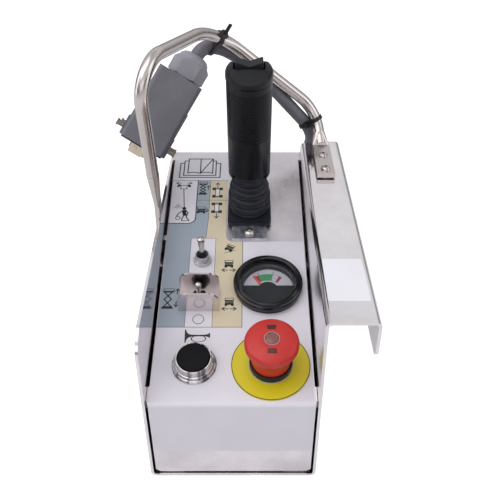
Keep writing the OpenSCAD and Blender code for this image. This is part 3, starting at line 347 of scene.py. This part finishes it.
def rounded(u0, w0, u1, w1, radius):
    """A rectangle with round corners."""
    centres = ((u1 - radius, w1 - radius), (u0 + radius, w1 - radius), (u0 + radius, w0 + radius),
               (u1 - radius, w0 + radius))
    return [p for k, c in enumerate(centres) for p in arc(c, radius, 90 * k, 90 * k + 90, 5)]


def turned(shapes, centre, degrees):
    """The same shapes turned about a centre."""
    turn = math.radians(degrees)
    cos, sin = math.cos(turn), math.sin(turn)
    return [[(centre[0] + (x - centre[0]) * cos - (y - centre[1]) * sin,
              centre[1] + (x - centre[0]) * sin + (y - centre[1]) * cos) for x, y in shape]
            for shape in shapes]


def on_panel(name, shapes, look, height, body=BOX, at=(0, 0)):
    """Flat shapes at a height over the panel, one face each."""
    points, faces = [], []
    for shape in shapes:
        faces.append(range(len(points), len(points) + len(shape)))
        points += [panel(at[0] + u, at[1] + w, height) for u, w in shape]
    return mesh_piece(name, points, [list(f) for f in faces], look, body)


def scissor(u0, u1, low, high, stages):
    """A lift with crossed arms: solid base, arms and platform bar, and the platform's outline."""
    wide = u1 - u0
    arms_low, arms_high = low + 2.4, high - 3.6
    solid = [block(u0 - 0.2, low, u1, low + 1.5), block(u0 + 0.6, low + 1.3, u1 - 0.8, low + 2.6),
             block(u0, high - 3.8, u1, high - 2.6)]
    step = (arms_high - arms_low) / stages
    for k in range(stages):
        w0, w1 = arms_low + k * step, arms_low + (k + 1) * step
        left, right = u0 + wide * 0.16, u1 - wide * 0.2
        solid += [stroke((left, w0), (right, w1), 1.0), stroke((right, w0), (left, w1), 1.0)]
    outline = line(block(u0 + 0.6, high - 2.4, u1 - 0.2, high), 0.55, True)
    return solid + outline


def side_view(u, w, wide=7.4, high=7.6):
    """A lowered lift from the side, with small wheels."""
    u0, u1, w0, w1 = u - wide / 2, u + wide / 2, w - high / 2, w + high / 2
    bars = [block(u0, w0 + 0.7, u1, w0 + 2.7), block(u0 + 0.2, w0 + 2.9, u1 - 0.2, w0 + 3.8),
            block(u0, w0 + 4, u1, w0 + 5.2)]
    wheels = [arc((u + s * (wide / 2 - 1.1), w0 + 0.7), 1.3, 0, 360, 12)[:-1] for s in (-1, 1)]
    return bars + wheels + line(block(u0 + 0.2, w0 + 5.4, u1 - 0.2, w1), 0.55, True)


def two_ways(u0, u1, w):
    """Two arrows that point away from each other."""
    middle = (u0 + u1) / 2
    return arrow((middle - 0.6, w), (u0, w), 0.75, 2.1) + arrow((middle + 0.6, w), (u1, w), 0.75, 2.1)


def top_view(u, w, forward):
    """A machine from above with four wheels and an arrow ahead of it: (black shapes, white body)."""
    black = [block(u + s * 3.5 - 1.5, w + e * 5.1 - 1.8, u + s * 3.5 + 1.5, w + e * 5.1 + 1.8)
             for s in (-1, 1) for e in (-1, 1)]
    black += [block(u - 2.1, w + e * 5.1 - 0.6, u + 2.1, w + e * 5.1 + 0.6) for e in (-1, 1)]
    black += line(block(u - 2, w - 6.4, u + 2, w + 6.4), 0.6, True)
    black += arrow((u, w + forward * 7.4), (u, w + forward * 13.4), 0.8, 2.4)
    return black, [block(u - 1.8, w - 6.2, u + 1.8, w + 6.2)]


# Lines of the overlay's fields
FIELD_LOW = 68.6
FIELD_TOP = 241.0
STRIP_TOP = 165.0
STRIP = (-39.3, -17.2)
BEIGE_RIGHT = 6.9
BARE_LEFT = -8.3
BARE_FRONT = 161.0
BOX_LOW = 183.4
BOX_RIGHT = -37.0
SPLIT = [(-26.3, STRIP_TOP), (-24.8, 192.0), (-24.8, FIELD_TOP)]
ROW_SPLIT = 213.8
FIELD_CORNER = 7.0
# Widths of the lines round the fields
FIELD_RULE = 0.5
THIN_RULE = 0.4
FRAME_RULE = 0.9


def fields():
    """Blue-grey and beige fields with their thin dark outlines."""
    corner = FIELD_CORNER
    box_corner = arc((BOX_RIGHT - corner, BOX_LOW + corner), corner, 0, -90, 12)
    blue = [(-FILM_HALF, FIELD_LOW), (STRIP[0], FIELD_LOW), (STRIP[0], STRIP_TOP)] + SPLIT + [
        (BOX_RIGHT, FIELD_TOP)] + box_corner + [(-FILM_HALF, BOX_LOW)]
    bare_corner = arc((BARE_LEFT + corner, BARE_FRONT + corner), corner, -90, -180, 12)
    beige = [(STRIP[1], FIELD_LOW), (BEIGE_RIGHT, FIELD_LOW), (BEIGE_RIGHT, BARE_FRONT)] + bare_corner + [
        (BARE_LEFT, FIELD_TOP)] + SPLIT[::-1] + [(STRIP[1], STRIP_TOP)]
    on_panel("field_blue", [blue], INKS["blue"], FILM + FIELD_LIFT)
    on_panel("field_beige", [beige], INKS["beige"], FILM + FIELD_LIFT)
    lines = line([(-FILM_HALF, FIELD_LOW), (BEIGE_RIGHT, FIELD_LOW), (BEIGE_RIGHT, BARE_FRONT)], FIELD_RULE)
    left, right = STRIP
    lines += line([(left, FIELD_LOW), (left, STRIP_TOP), (right, STRIP_TOP), (right, FIELD_LOW)], THIN_RULE)
    lines += line(SPLIT, THIN_RULE) + line([(BOX_RIGHT, ROW_SPLIT), (BARE_LEFT, ROW_SPLIT)], FIELD_RULE)
    lines += line([(-FILM_HALF, FIELD_TOP), (BARE_LEFT, FIELD_TOP)], FIELD_RULE)
    on_panel("field_lines", lines, INKS["line"], FILM + LINE_LIFT)
    frame_line = line([(BOX_RIGHT, FIELD_TOP)] + box_corner + [(-FILM_HALF, BOX_LOW)], FRAME_RULE)
    on_panel("box_line", frame_line, INKS["black"], FILM + SIGN_LIFT)


BOOK_LINE = 1.05


def book_sign():
    """An open book with the covers behind it."""
    shapes = line([(-51.8, 266.3), (-55.6, 266.3), (-55.9, 245.6), (-16.1, 245.6), (-15.8, 266.3),
                   (-19.6, 266.3)], BOOK_LINE)
    shapes += line([(-48.2, 269.8), (-51.7, 269.8), (-51.9, 248.6), (-20.3, 248.6), (-20.3, 269.8),
                    (-23.3, 269.8)], BOOK_LINE)
    shapes += line([(-48, 252), (-47.6, 272.9), (-23.5, 272.9), (-23.5, 252)], BOOK_LINE)
    shapes += line([(-35.7, 272.9), (-35.6, 251.4)], BOOK_LINE)
    shapes += line([(-23.8, 272.6), (-35.2, 252.4)], BOOK_LINE)
    for left, right in ((-48, -35.6), (-35.6, -23.5)):
        middle = (left + right) / 2
        shapes += line([(left, 252), (middle - 2, 253.1), (middle + 2, 253), (right, 251.6)], BOOK_LINE)
    on_panel("sign_book", shapes, INKS["black"], FILM + SIGN_LIFT)


def towing_sign():
    """A machine with turned wheels, its pull bar and a plain figure that pulls it."""
    shapes = arrow((-53.2, 237.2), (-57.8, 237.4), 0.7, 2.0) + arrow((-47.6, 237.2), (-43.0, 237.4), 0.7, 2.0)
    for centre, lean in (((-55.3, 233.8), -38), ((-45.3, 233.6), 38)):
        shapes += turned([arc(centre, 1.4, 0, 360, 16, 1.6)[:-1]], centre, lean)
    shapes += line(block(-53.4, 229.2, -47.4, 234), 0.7, True) + line([(-50.3, 229), (-48.4, 204.6)], 0.8)
    shapes += line([(-57.6, 203.2), (-54.2, 208.2), (-50.4, 203.4)], 0.45) + line([(-55.8, 203), (-54, 205.6),
                                                                                  (-52.6, 203)], 0.45)
    shapes.append(arc((-48.2, 202.8), 1.9, 0, 360, 16)[:-1])
    shapes.append([(-50.4, 200.4), (-46.6, 201), (-45.4, 194), (-48.6, 192.6)])
    for limb in ([(-48, 200), (-52.4, 197.2), (-54.6, 193)], [(-46.2, 195), (-45.2, 190.4), (-43, 187.2)],
                 [(-48, 194), (-49.4, 190.2), (-49.8, 187)], [(-46.4, 200), (-44.4, 197), (-45, 194)]):
        shapes += line(limb, 1.0)
    shapes += band((-53.4, 190.4), 1.7, 2.4, 0, 360, 20) + line([(-49.8, 186.7), (-42.8, 186.9)], 0.6)
    on_panel("sign_towing", shapes, INKS["black"], FILM + SIGN_LIFT)


def lift_signs():
    """Raised and lowered lifts beside the joystick and beside the toggles."""
    shapes = scissor(-35.8, -27.8, 221.3, 239, 3) + arrow((-26.6, 227.6), (-26.4, 233.6), 0.75, 2.0)
    shapes += side_view(-32.2, 200.8, 7.8, 8) + arrow((-26.8, 203.4), (-26.8, 198.4), 0.75, 2.0)
    shapes += scissor(-59.4, -50, 86.8, 107.4, 2) + arrow((-47.4, 101.6), (-47.2, 107.4), 0.8, 2.2)
    shapes += arrow((-47.7, 94.6), (-47.7, 88.8), 0.8, 2.2)
    on_panel("sign_lifts", shapes, INKS["black"], FILM + SIGN_LIFT)


def driving_signs():
    """Machines from above and from the side, with the way they drive."""
    front, front_body = top_view(-17.7, 224.2, 1)
    back, back_body = top_view(-17.8, 203.6, -1)
    on_panel("sign_drive_body", front_body + back_body, INKS["white"], FILM + SIGN_LIFT)
    shapes = front + back
    shapes += side_view(-4.9, 135) + two_ways(-10.8, 0.8, 127.9)
    shapes += side_view(-3.8, 93.9) + two_ways(-9.6, 2, 86.8)
    shapes += turned(side_view(-4.6, 153.4, 7, 7), (-4.6, 153.4), -28)
    shapes += line([(-9, 147.6), (0.4, 150.6)], 0.5)
    on_panel("sign_drive", shapes, INKS["black"], FILM + TOP_LIFT)


def round_signs():
    """The open circle before the guarded toggle, and the horn over its button."""
    on_panel("sign_circle", band((-28.5, 76.3), 4.15, 4.75), INKS["line"], FILM + SIGN_LIFT)
    bell = [(-38.6, 66.3), (-37.7, 66.2), (-36.9, 63.6), (-35.4, 62.1), (-33, 61.4), (-27, 61.2), (-22, 61.4),
            (-19.8, 62.1), (-18.9, 63.1), (-18.3, 63), (-18.3, 58.4), (-18.9, 58.4), (-19.8, 59.2),
            (-22, 59.7), (-27, 59.9), (-33, 59.6), (-35.3, 58.6), (-36.8, 56.9), (-37.6, 53.8), (-38.3, 53.8)]
    loop = band((-27.4, 57.6), 5.2, 6.1, 0, 360, 32, 0.52)
    on_panel("sign_horn", [bell] + loop, INKS["black"], FILM + SIGN_LIFT)


def overlay_print():
    fields()
    book_sign()
    towing_sign()
    lift_signs()
    driving_signs()
    round_signs()


# The disc's rim line: inner and outer radius, steps, and its height over the film
RIM = (29.6, 30.3)
RIM_STEPS = 96
RIM_LIFT = 1.22


def legend_rim():
    """Thin dark line round the yellow disc."""
    on_panel("legend_rim", band((0, 0), *RIM, 0, 360, RIM_STEPS), INKS["rim"], FILM + RIM_LIFT, at=STOP_AT)


# The needle's pivot behind the gauge's centre, the dial's face, and the scale's inner and outer radius
NEEDLE_BACK = -7.0
DIAL_TOP = -0.7
SCALE = (14.2, 21.4)
TICK_LIFT = 0.03


def dial_print():
    """The scale's coloured fields and ticks on the gauge's dial."""
    pivot = (0, NEEDLE_BACK)
    low, high = SCALE
    parts = (("dial_low", "dark_red", 124, 112), ("dial_good", "green", 112, 77),
             ("dial_high", "dark_red", 63, 55))
    for name, ink, start, end in parts:
        on_panel(name, band(pivot, low, high, start, end, 12), INKS[ink], DIAL_TOP + FIELD_LIFT, at=GAUGE_AT)
    outline = band(pivot, high - 0.35, high, 77, 63, 8) + band(pivot, low, low + 0.35, 77, 63, 8)
    middle = (low + high) / 2
    outline += band(pivot, middle - 0.2, middle + 0.2, 75, 66, 8)
    for angle in (111, 78):
        a = arc(pivot, 21.8, angle, angle + 1, 1)[0]
        b = arc(pivot, 24.2, angle, angle + 1, 1)[0]
        outline.append(stroke(a, b, 0.5))
    on_panel("dial_marks", outline, INKS["black"], DIAL_TOP + TICK_LIFT, at=GAUGE_AT)


# The black wall in the gauge: radius, height, and how far it is off centre across and up the slope
WALL_TOP = (22.9, 3.4, 0.0, 0.0)
WALL_FOOT = (21.2, DIAL_TOP + 0.05, 0.5, -1.8)
WALL_STEPS = 72
WALL_THICK = 0.3


def gauge_funnel():
    """Black wall between the bezel's window and the dial, wider above than below."""
    steps = WALL_STEPS
    points = []
    for radius, height, u, w in (WALL_TOP, WALL_FOOT):
        points += [panel(GAUGE_AT[0] + u + radius * math.cos(a), GAUGE_AT[1] + w + radius * math.sin(a),
                         height) for a in (2 * math.pi * k / steps for k in range(steps))]
    faces = [[k, (k + 1) % steps, (k + 1) % steps + steps, k + steps] for k in range(steps)]
    piece = mesh_piece("gauge_funnel", points, faces, OWN_LOOKS["gauge_bezel"], BOX, True)
    wall = piece.modifiers.new("wall", "SOLIDIFY")
    wall.thickness = WALL_THICK * MM
    wall.offset = 0


# The label's left, front, right and back edge, its corners, and its lower and upper face over the hook
LABEL = (67.0, -118.3, 96.6, -69.6)
LABEL_CORNER = 1.6
LABEL_FACES = (0.02, 0.1)


def hook_label():
    """Plain blank label on the hook's top."""
    low, high = (HOOK_TOP + face for face in LABEL_FACES)
    outline = rounded(*LABEL, LABEL_CORNER)
    count = len(outline)
    points = [Vector((x, y, z)) * MM for z in (low, high) for x, y in outline]
    sides = [[k, (k + 1) % count, (k + 1) % count + count, k + count] for k in range(count)]
    faces = [list(range(count))[::-1], list(range(count, 2 * count))] + sides
    mesh_piece("hook_label", points, faces, INKS["label"])


# Joystick boot: the creases between its folds from the frame up, and the radius of each fold
BOOT_LOW = 8.7
BOOT_CREASES = (10.2, 17.7, 26.8, 35.4, 40.9, 46.6)
BOOT_RADII = (19.4, 19.2, 17.8, 16.0, 14.4)
CREASE_DEPTH = 2.5
BOOT_WALL = 1.5
BOOT_STEPS = 64
# One fold from crease to crease: share of the crease's depth, and share of the way up
FOLD = ((1, 0), (0.5, 0.12), (0.12, 0.32), (0, 0.54), (0.16, 0.76), (0.55, 0.92))
GRIP_LOW = 52.5


def boot():
    """Soft rubber bellows turned from one profile."""
    outer = [(BOOT_RADII[0] - 0.8, BOOT_LOW), (BOOT_RADII[0] - 0.9, BOOT_CREASES[0] - 0.6)]
    for radius, low, high in zip(BOOT_RADII, BOOT_CREASES, BOOT_CREASES[1:]):
        rise = high - low
        outer += [(radius - CREASE_DEPTH * part, low + rise * up) for part, up in FOLD]
    top = BOOT_CREASES[-1]
    outer += [(13.0, top + 0.2), (12.8, top + 2), (12.7, GRIP_LOW - 0.35)]
    inner = [(r - BOOT_WALL, t) for r, t in outer[::-1]]
    profile = outer + inner
    steps = BOOT_STEPS
    points, faces = [], []
    for k in range(steps):
        turn = 2 * math.pi * k / steps
        points += [panel(STICK_AT[0] + r * math.cos(turn), STICK_AT[1] + r * math.sin(turn), t)
                   for r, t in profile]
    count = len(profile)
    for k in range(steps):
        here, there = k * count, (k + 1) % steps * count
        faces += [[here + j, there + j, there + (j + 1) % count, here + (j + 1) % count]
                  for j in range(count)]
    piece = mesh_piece("boot_bellows", points, faces, LOOKS["black_rubber"], None, True)
    smooth = piece.modifiers.new("smooth", "SUBSURF")
    smooth.levels = smooth.render_levels = 1
    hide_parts("boot")
    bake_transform(piece)


# Heights of the head's base and top and of the rocker's pin, and the head's radius
SEAM = 144.72
HEAD_TOP = 155.2
HEAD_RADIUS = 18.6
ROCKER_PIN = 150.4


def local(x, y, t):
    """A point round the joystick's axis."""
    return panel(STICK_AT[0] + x, STICK_AT[1] + y, t)


def lathe(name, profile, look, steps=96):
    """A closed solid turned round the joystick's axis, from its lowest point on the axis to its highest."""
    ring = profile[1:-1]
    count = len(ring)
    points = [local(0, 0, profile[0][1]), local(0, 0, profile[-1][1])]
    for k in range(steps):
        turn = 2 * math.pi * k / steps
        points += [local(r * math.cos(turn), r * math.sin(turn), t) for r, t in ring]
    faces = []
    for k in range(steps):
        here, there = 2 + k * count, 2 + (k + 1) % steps * count
        faces.append([0, there, here])
        faces.append([1, here + count - 1, there + count - 1])
        faces += [[here + j, there + j, there + j + 1, here + j + 1] for j in range(count - 1)]
    return mesh_piece(name, points, faces, look, None)


def slice_off(piece, point, direction):
    """Cuts the piece along a plane and keeps what lies behind it, closed."""
    work = bmesh.new()
    work.from_mesh(piece.data)
    cut = bmesh.ops.bisect_plane(work, geom=work.verts[:] + work.edges[:] + work.faces[:], plane_co=point,
                                 plane_no=direction, clear_outer=True)
    rim = [e for e in cut["geom_cut"] if isinstance(e, bmesh.types.BMEdge)]
    bmesh.ops.contextual_create(work, geom=rim)
    bmesh.ops.recalc_face_normals(work, faces=work.faces)
    work.to_mesh(piece.data)
    work.free()


HEAD_SHARP = 28


def rounded_edges(piece, width):
    """Rounds the edges between the flats of a piece and shades the rest smooth."""
    edge = piece.modifiers.new("edge", "BEVEL")
    edge.width = width * MM
    edge.segments = 3
    edge.limit_method = "ANGLE"
    edge.angle_limit = math.radians(HEAD_SHARP)
    edge.harden_normals = True
    piece.data.polygons.foreach_set("use_smooth", [True] * len(piece.data.polygons))


# Both flats of the head: where each starts and ends, as distance up the slope and height
FLATS = (((-4.4, HEAD_TOP), (-18.2, 150.0)), ((5.0, HEAD_TOP), (18.2, 148.4)))
# The rocker's slot: half its width, its front and back, its floor, and the cutter's reach over the head
SLOT = (12.3, -4.4, 5.0)
SLOT_FLOOR = 147.0
SLOT_REACH = 4
HEAD_EDGE = 0.45


def stick_head():
    """The head with its broad flat in front, a steeper one behind and the slot of the rocker."""
    r = HEAD_RADIUS
    profile = [(0, SEAM), (r - 1, SEAM), (r - 0.2, SEAM + 0.6), (r, SEAM + 1.6), (r, HEAD_TOP - 5.4),
               (r - 0.3, HEAD_TOP - 4), (r - 1.1, HEAD_TOP - 2.5), (r - 2.4, HEAD_TOP - 1.2),
               (r - 4, HEAD_TOP - 0.4), (r - 5.6, HEAD_TOP), (0, HEAD_TOP)]
    head = lathe("head_body", profile, LOOKS["grip_plastic"])
    for near, far in FLATS:
        start, end = local(0, *near), local(0, *far)
        along, across = end - start, local(1, 0, 0) - local(0, 0, 0)
        up = across.cross(along) if near[0] > 0 else along.cross(across)
        slice_off(head, start, up.normalized())
    x, y0, y1 = SLOT
    corners = [local(i, j, t) for t in (SLOT_FLOOR, HEAD_TOP + SLOT_REACH)
               for i, j in ((-x, y0), (x, y0), (x, y1), (-x, y1))]
    cutter = mesh_piece("slot_cutter", corners, [[3, 2, 1, 0], [4, 5, 6, 7], [0, 1, 5, 4], [1, 2, 6, 5],
                                                 [2, 3, 7, 6], [3, 0, 4, 7]], LOOKS["grip_plastic"], None)
    cut = head.modifiers.new("slot", "BOOLEAN")
    cut.operation = "DIFFERENCE"
    cut.solver = "EXACT"
    cut.object = cutter
    bpy.context.view_layer.update()
    shape = bpy.data.meshes.new_from_object(head.evaluated_get(bpy.context.evaluated_depsgraph_get()))
    head.modifiers.remove(cut)
    head.data = shape
    bpy.data.objects.remove(cutter)
    rounded_edges(head, HEAD_EDGE)
    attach(head, "joystick")
    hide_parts("stick_head")


# Right half of the rocker's outline round its pin, its front and back face, and its edges
ROCKER_HALF = [(5.4, -1.2), (10.9, 1.6), (11, 4), (10.8, 6.6), (10.7, 9.2), (10.3, 10), (9.6, 10.1),
               (0.5, 6.7)]
ROCKER_FACES = (-3.9, 4.5)
ROCKER_EDGE = 0.4


def stick_rocker():
    """Thumb rocker with two raised ends and a valley between them."""
    outline = ROCKER_HALF + [(-x, t) for x, t in ROCKER_HALF[::-1]]
    count = len(outline)
    points = [local(x, y, ROCKER_PIN + t) for y in ROCKER_FACES for x, t in outline]
    faces = [list(range(count)), list(range(count, 2 * count))[::-1]]
    faces += [[(k + 1) % count, k, k + count, (k + 1) % count + count] for k in range(count)]
    piece = mesh_piece("rocker_body", points, faces, LOOKS["black_plastic"], None)
    rounded_edges(piece, ROCKER_EDGE)
    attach(piece, "thumb_rocker")
    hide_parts("stick_rocker")


# The skirts' inner and outer radius, lower and upper end, half angle and steps
SKIRT = (15.4, 18.1, 49.6, GRIP_LOW + 0.4)
SKIRT_ANGLE = 37
SKIRT_STEPS = 24


def grip_skirt():
    """Two skirts that the grip's foot reaches down with, left and right of the boot's neck."""
    inside, outside, low, high = SKIRT
    steps = SKIRT_STEPS
    points, faces = [], []
    for centre in (0, 180):
        first = len(points)
        for k in range(steps + 1):
            turn = math.radians(centre - SKIRT_ANGLE + 2 * SKIRT_ANGLE * k / steps)
            points += [local(r * math.cos(turn), r * math.sin(turn), t)
                       for r, t in ((inside, high), (inside, low), (outside - 0.3, low), (outside, low + 0.4),
                                    (outside, high))]
        for k in range(steps):
            here, there = first + 5 * k, first + 5 * (k + 1)
            faces += [[here + j, there + j, there + (j + 1) % 5, here + (j + 1) % 5] for j in range(5)]
        last = first + 5 * steps
        faces += [[first + j for j in range(5)], [last + j for j in range(5)][::-1]]
    piece = mesh_piece("grip_skirt", points, faces, LOOKS["grip_plastic"], "joystick")


# Stage, light and camera
FLOOR = -0.0003
FLOOR_REACH = 6.0
FLOOR_TONE = (0.6, 0.6, 0.61, 1)
# Glow of the floor for the camera, and for mirror rays
SEEN_GLOW = 0.7
MIRRORED_GLOW = 0.2
WHITE = (1, 1, 1, 1)
# Tone of the world by height, from level or below (0) to straight up (1), and its strength
SKY = ((0.0, (0.24, 0.235, 0.235, 1)), (0.25, (0.44, 0.43, 0.435, 1)), (0.46, (1.0, 0.99, 1.0, 1)),
       (0.66, (1.0, 1.0, 1.02, 1)), (0.86, (0.78, 0.775, 0.785, 1)), (1.0, (0.80, 0.80, 0.82, 1)))
SKY_STRENGTH = 0.8
# Lamps: name, place in metres, size and power; all look at one point over the box
LAMPS = (("key", (-0.35, -0.25, 1.15), (1.0, 1.0), 4.2),
         ("left", (-1.0, -0.1, 0.55), (0.5, 1.0), 2.2),
         ("right", (1.0, -0.2, 0.5), (0.5, 1.0), 2.0),
         ("front", (0.0, -1.1, 0.5), (1.0, 0.5), 1.4))
LAMP_AIM = (0.0, 0.0, 0.1)
# Camera: place in metres, degrees that it looks down, focal length and sensor in millimetres
CAMERA_AT = (0.0134, -0.4625, 0.4555)
LOOKING_DOWN = 35.75
LENS = 47.16
SENSOR = 36.0
NEAREST = 0.01


def floor():
    """A white floor that keeps the box's shadow."""
    size = FLOOR_REACH
    mesh = bpy.data.meshes.new("floor")
    corners = [(x, y, FLOOR) for x, y in ((-size, -size), (size, -size), (size, size), (-size, size))]
    mesh.from_pydata(corners, [], [[0, 1, 2, 3]])
    made = bpy.data.materials.new("floor")
    made.use_nodes = True
    tree = made.node_tree
    tree.nodes.clear()
    out = tree.nodes.new("ShaderNodeOutputMaterial")
    diffuse = tree.nodes.new("ShaderNodeBsdfDiffuse")
    diffuse.inputs["Color"].default_value = FLOOR_TONE
    glow = tree.nodes.new("ShaderNodeEmission")
    glow.inputs["Color"].default_value = WHITE
    light_path = tree.nodes.new("ShaderNodeLightPath")
    mirrored = tree.nodes.new("ShaderNodeMath")
    mirrored.operation = "MULTIPLY"
    mirrored.inputs[1].default_value = MIRRORED_GLOW
    shine = tree.nodes.new("ShaderNodeMath")
    shine.operation = "MULTIPLY_ADD"
    shine.inputs[1].default_value = SEEN_GLOW
    both = tree.nodes.new("ShaderNodeAddShader")
    tree.links.new(light_path.outputs["Is Camera Ray"], shine.inputs[0])
    tree.links.new(light_path.outputs["Is Glossy Ray"], mirrored.inputs[0])
    tree.links.new(mirrored.outputs[0], shine.inputs[2])
    tree.links.new(shine.outputs[0], glow.inputs["Strength"])
    tree.links.new(diffuse.outputs[0], both.inputs[0])
    tree.links.new(glow.outputs[0], both.inputs[1])
    tree.links.new(both.outputs[0], out.inputs["Surface"])
    mesh.materials.append(made)
    piece = bpy.data.objects.new("floor", mesh)
    bpy.context.scene.collection.objects.link(piece)


def studio():
    """A pale world, darker near the horizon for the metal, and plain white where the camera sees it."""
    world = bpy.data.worlds.new("studio")
    bpy.context.scene.world = world
    world.use_nodes = True
    tree = world.node_tree
    back = tree.nodes["Background"]
    place = tree.nodes.new("ShaderNodeTexCoord")
    split = tree.nodes.new("ShaderNodeSeparateXYZ")
    ramp = tree.nodes.new("ShaderNodeValToRGB")
    stops = ramp.color_ramp.elements
    stops[0].position, stops[0].color = SKY[0]
    stops[1].position, stops[1].color = SKY[-1]
    for height, tone in SKY[1:-1]:
        stops.new(height).color = tone
    tree.links.new(place.outputs["Generated"], split.inputs[0])
    tree.links.new(split.outputs["Z"], ramp.inputs["Fac"])
    tree.links.new(ramp.outputs["Color"], back.inputs["Color"])
    back.inputs["Strength"].default_value = SKY_STRENGTH
    white = tree.nodes.new("ShaderNodeBackground")
    white.inputs["Color"].default_value = WHITE
    light_path = tree.nodes.new("ShaderNodeLightPath")
    choice = tree.nodes.new("ShaderNodeMixShader")
    tree.links.new(light_path.outputs["Is Camera Ray"], choice.inputs["Fac"])
    tree.links.new(back.outputs[0], choice.inputs[1])
    tree.links.new(white.outputs[0], choice.inputs[2])
    tree.links.new(choice.outputs[0], tree.nodes["World Output"].inputs["Surface"])


def lamp(name, place, size, power):
    light = bpy.data.lights.new(name, "AREA")
    light.shape = "RECTANGLE"
    light.size, light.size_y = size
    light.energy = power
    piece = bpy.data.objects.new(name, light)
    piece.location = place
    piece.rotation_euler = (Vector(LAMP_AIM) - Vector(place)).to_track_quat("-Z", "Y").to_euler()
    bpy.context.scene.collection.objects.link(piece)


def lights():
    for values in LAMPS:
        lamp(*values)


def camera():
    """The photograph's view: level, looking down along the box."""
    lens = bpy.data.cameras.new("camera")
    lens.lens = LENS
    lens.sensor_width = SENSOR
    lens.clip_start = NEAREST
    piece = bpy.data.objects.new("camera", lens)
    piece.location = CAMERA_AT
    piece.rotation_euler = (math.radians(90 - LOOKING_DOWN), 0, 0)
    bpy.context.scene.collection.objects.link(piece)
    bpy.context.scene.camera = piece


dress_nodes()
soften_edges()
overlay_print()
legend_rim()
dial_print()
gauge_funnel()
hook_label()
boot()
stick_head()
stick_rocker()
grip_skirt()
floor()
studio()
lights()
camera()
bpy.context.scene.view_settings.view_transform = "Standard"
